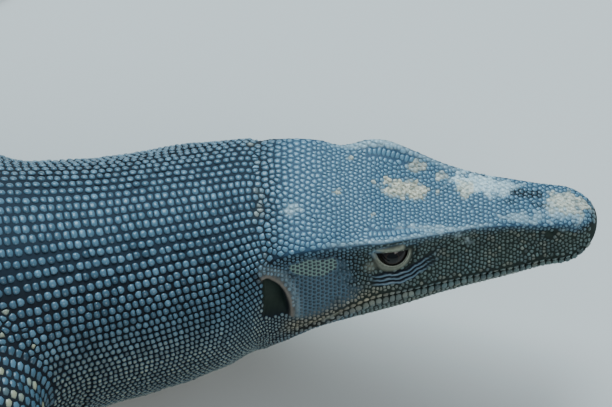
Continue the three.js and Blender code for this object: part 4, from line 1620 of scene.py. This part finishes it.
# Painted highlight: on the broad temple each dark grain has a thin pale blue rim for the glint on its edge;
# in the patch behind the eye the pale rims are the animal's own pale skin.
grains_with_painted_rims = draw.mix(crest.ease(0.02, 0.34), shade(84, 110, 124), shade(20, 40, 50))
in_patch = draw.mix(crest.ease(0.2, 0.62), shade(120, 146, 138), shade(14, 28, 34))
turned = draw.mix(marks["temple"].ease(0.5, 0.9), grains_with_painted_rims, in_patch)
base = draw.mix(marks["temple"].ease(0.0, 0.5) * 0.9, base, turned)
lid_rim = draw.mix(grit, shade(178, 182, 164), shade(118, 124, 104))
base = paint(base, "lids", 1.0, lid_rim)
base = paint(base, "flesh", 0.85, draw.mix(grit, shade(112, 104, 92), shade(136, 128, 116)))
base = paint(base, "cup", 0.92, shade(50, 64, 56))
dust = draw.mix(grit, shade(150, 186, 198), shade(214, 228, 226))
base = paint(base, "dust", 0.5 + 0.5 * grit.ease(0.25, 0.6), dust)
mud = draw.mix(grit.ease(0.3, 0.7), shade(152, 148, 120), shade(226, 222, 200))
base = paint(base, "mud", 0.6 + 0.4 * grit.ease(0.3, 0.6), mud)
dry = marks["mud"] + 0.5 * marks["dust"] + marks["cup"] + 0.5 * marks["flesh"]
film = crest.ease(0.1, 0.7) + 0.3 * marks["crown"]
wet = film.ease(0.0, 1.0) * (1 - dry.ease(0.0, 1.0))
feed(
    surface, Base_Color=base, Roughness=0.8 - 0.42 * wet + 0.1 * (grit - 0.5), Coat_Weight=wet * 0.7,
)
height_wave = fine * 0.5 + grit * 0.8 + marks["mud"] * grit * 2
feed(surface, Normal=draw.node("Bump", None, {"Strength": 0.4, "Distance": 0.0002, "Height": height_wave}))
for piece in (skin, *coats):
    piece.data.materials.clear()
    piece.data.materials.append(hide)
print("hide", len(hide.node_tree.nodes), "nodes on", 1 + len(coats), "pieces")

# %% [markdown]
# ## Eyes and horn
# The iris is dark brown with a faint bronze ring at the round pupil, under a film of tears. Claws
# are black horn with a fine mottle, worn paler at the tip.

# %% Eye and claw materials
wet_eye, surface, draw = material("wet_eye", {"Roughness": 0.04, "IOR": 1.38})
gaze = draw.mark("gaze")
flecks = draw.noise(1500, 2.0)
iris = draw.mix(flecks, shade(14, 11, 11), shade(30, 24, 22))
iris = draw.mix(gaze.ease(0.42, 0.36) * 0.16, iris, shade(96, 70, 40))
iris = draw.mix(gaze.ease(0.36, 0.33), iris, shade(3, 3, 4))
iris = draw.mix(gaze.ease(0.86, 0.98), iris, shade(20, 18, 17))
feed(surface, Base_Color=iris)
for eye in (o for o in bpy.data.objects if o.name.startswith("eyeball")):
    eye.data.materials.append(wet_eye)

horn, surface, draw = material("horn", {"IOR": 1.55, "Coat Weight": 0.3, "Coat Roughness": 0.2})
run, mottle = draw.mark("run"), draw.noise(700, 3.0)
worn = run.ease(0.55, 1.0) * 0.6 + mottle * 0.2
worn_horn = draw.mix(worn, shade(18, 17, 16), shade(84, 74, 60))
feed(surface, Base_Color=worn_horn, Roughness=0.26 + 0.25 * mottle)
for claw in claws:
    claw.data.materials.append(horn)
print("eye", len(wet_eye.node_tree.nodes), "nodes, horn", len(horn.node_tree.nodes), "nodes")

# %% [markdown]
# ## Floor, light and camera
# A plain pale floor under soft studio light. A large cool light stands high behind the left side, so
# that the wet scales mirror it as they mirror an open sky. The camera looks down at the right side
# of the head from two metres away through a long lens, which keeps the shapes nearly parallel.

# %% Stage
bpy.ops.mesh.primitive_plane_add(size=80)
floor = bpy.context.object
floor.name = "floor"
paper, surface, draw = material("paper", {"Base Color": shade(205, 205, 200), "Roughness": 0.85})
floor.data.materials.append(paper)

world = bpy.context.scene.world or bpy.data.worlds.new("studio")
bpy.context.scene.world = world
world.use_nodes = True
world.node_tree.nodes["Background"].inputs["Color"].default_value = (0.66, 0.8, 0.95, 1)
world.node_tree.nodes["Background"].inputs["Strength"].default_value = 0.5


def softbox(name, at, aim, size, energy, colour):
    data = bpy.data.lights.new(name, "AREA")
    data.energy, data.size, data.color = energy, size, colour
    light = bpy.data.objects.new(name, data)
    bpy.context.collection.objects.link(light)
    light.location = at
    light.rotation_euler = (Vector(aim) - Vector(at)).to_track_quat("-Z", "Y").to_euler()
    light.visible_camera = False


HEAD_MIDDLE = (0.72, 0.02, 0.05)
softbox("sky_side", (0.6, 1.5, 1.9), HEAD_MIDDLE, 1.5, 88, (0.71, 0.89, 1.0))
softbox("front_side", (1.6, -1.2, 1.5), HEAD_MIDDLE, 1.0, 12, (1.0, 0.97, 0.92))

# %% Camera
DISTANCE, WIDTH_SEEN, ELEVATION = 2.0, 0.206, math.radians(55)
AIM_STATION, AIM_RAISED = 98.0, 5.6
target = Vector(place([AIM_STATION], [0.0], [SNOUT_HEIGHT])[0] * MM)
target += AIM_RAISED * MM * Vector((0, math.sin(ELEVATION), math.cos(ELEVATION)))
lens = bpy.data.cameras.new("camera")
lens.sensor_width = 36
lens.lens = lens.sensor_width * DISTANCE / WIDTH_SEEN
lens.clip_end = 200
camera = bpy.data.objects.new("camera", lens)
bpy.context.collection.objects.link(camera)
camera.location = target + DISTANCE * Vector((0, -math.cos(ELEVATION), math.sin(ELEVATION)))
camera.rotation_euler = (math.pi / 2 - ELEVATION, 0, 0)
bpy.context.scene.camera = camera
print("camera at", [round(v, 3) for v in camera.location])
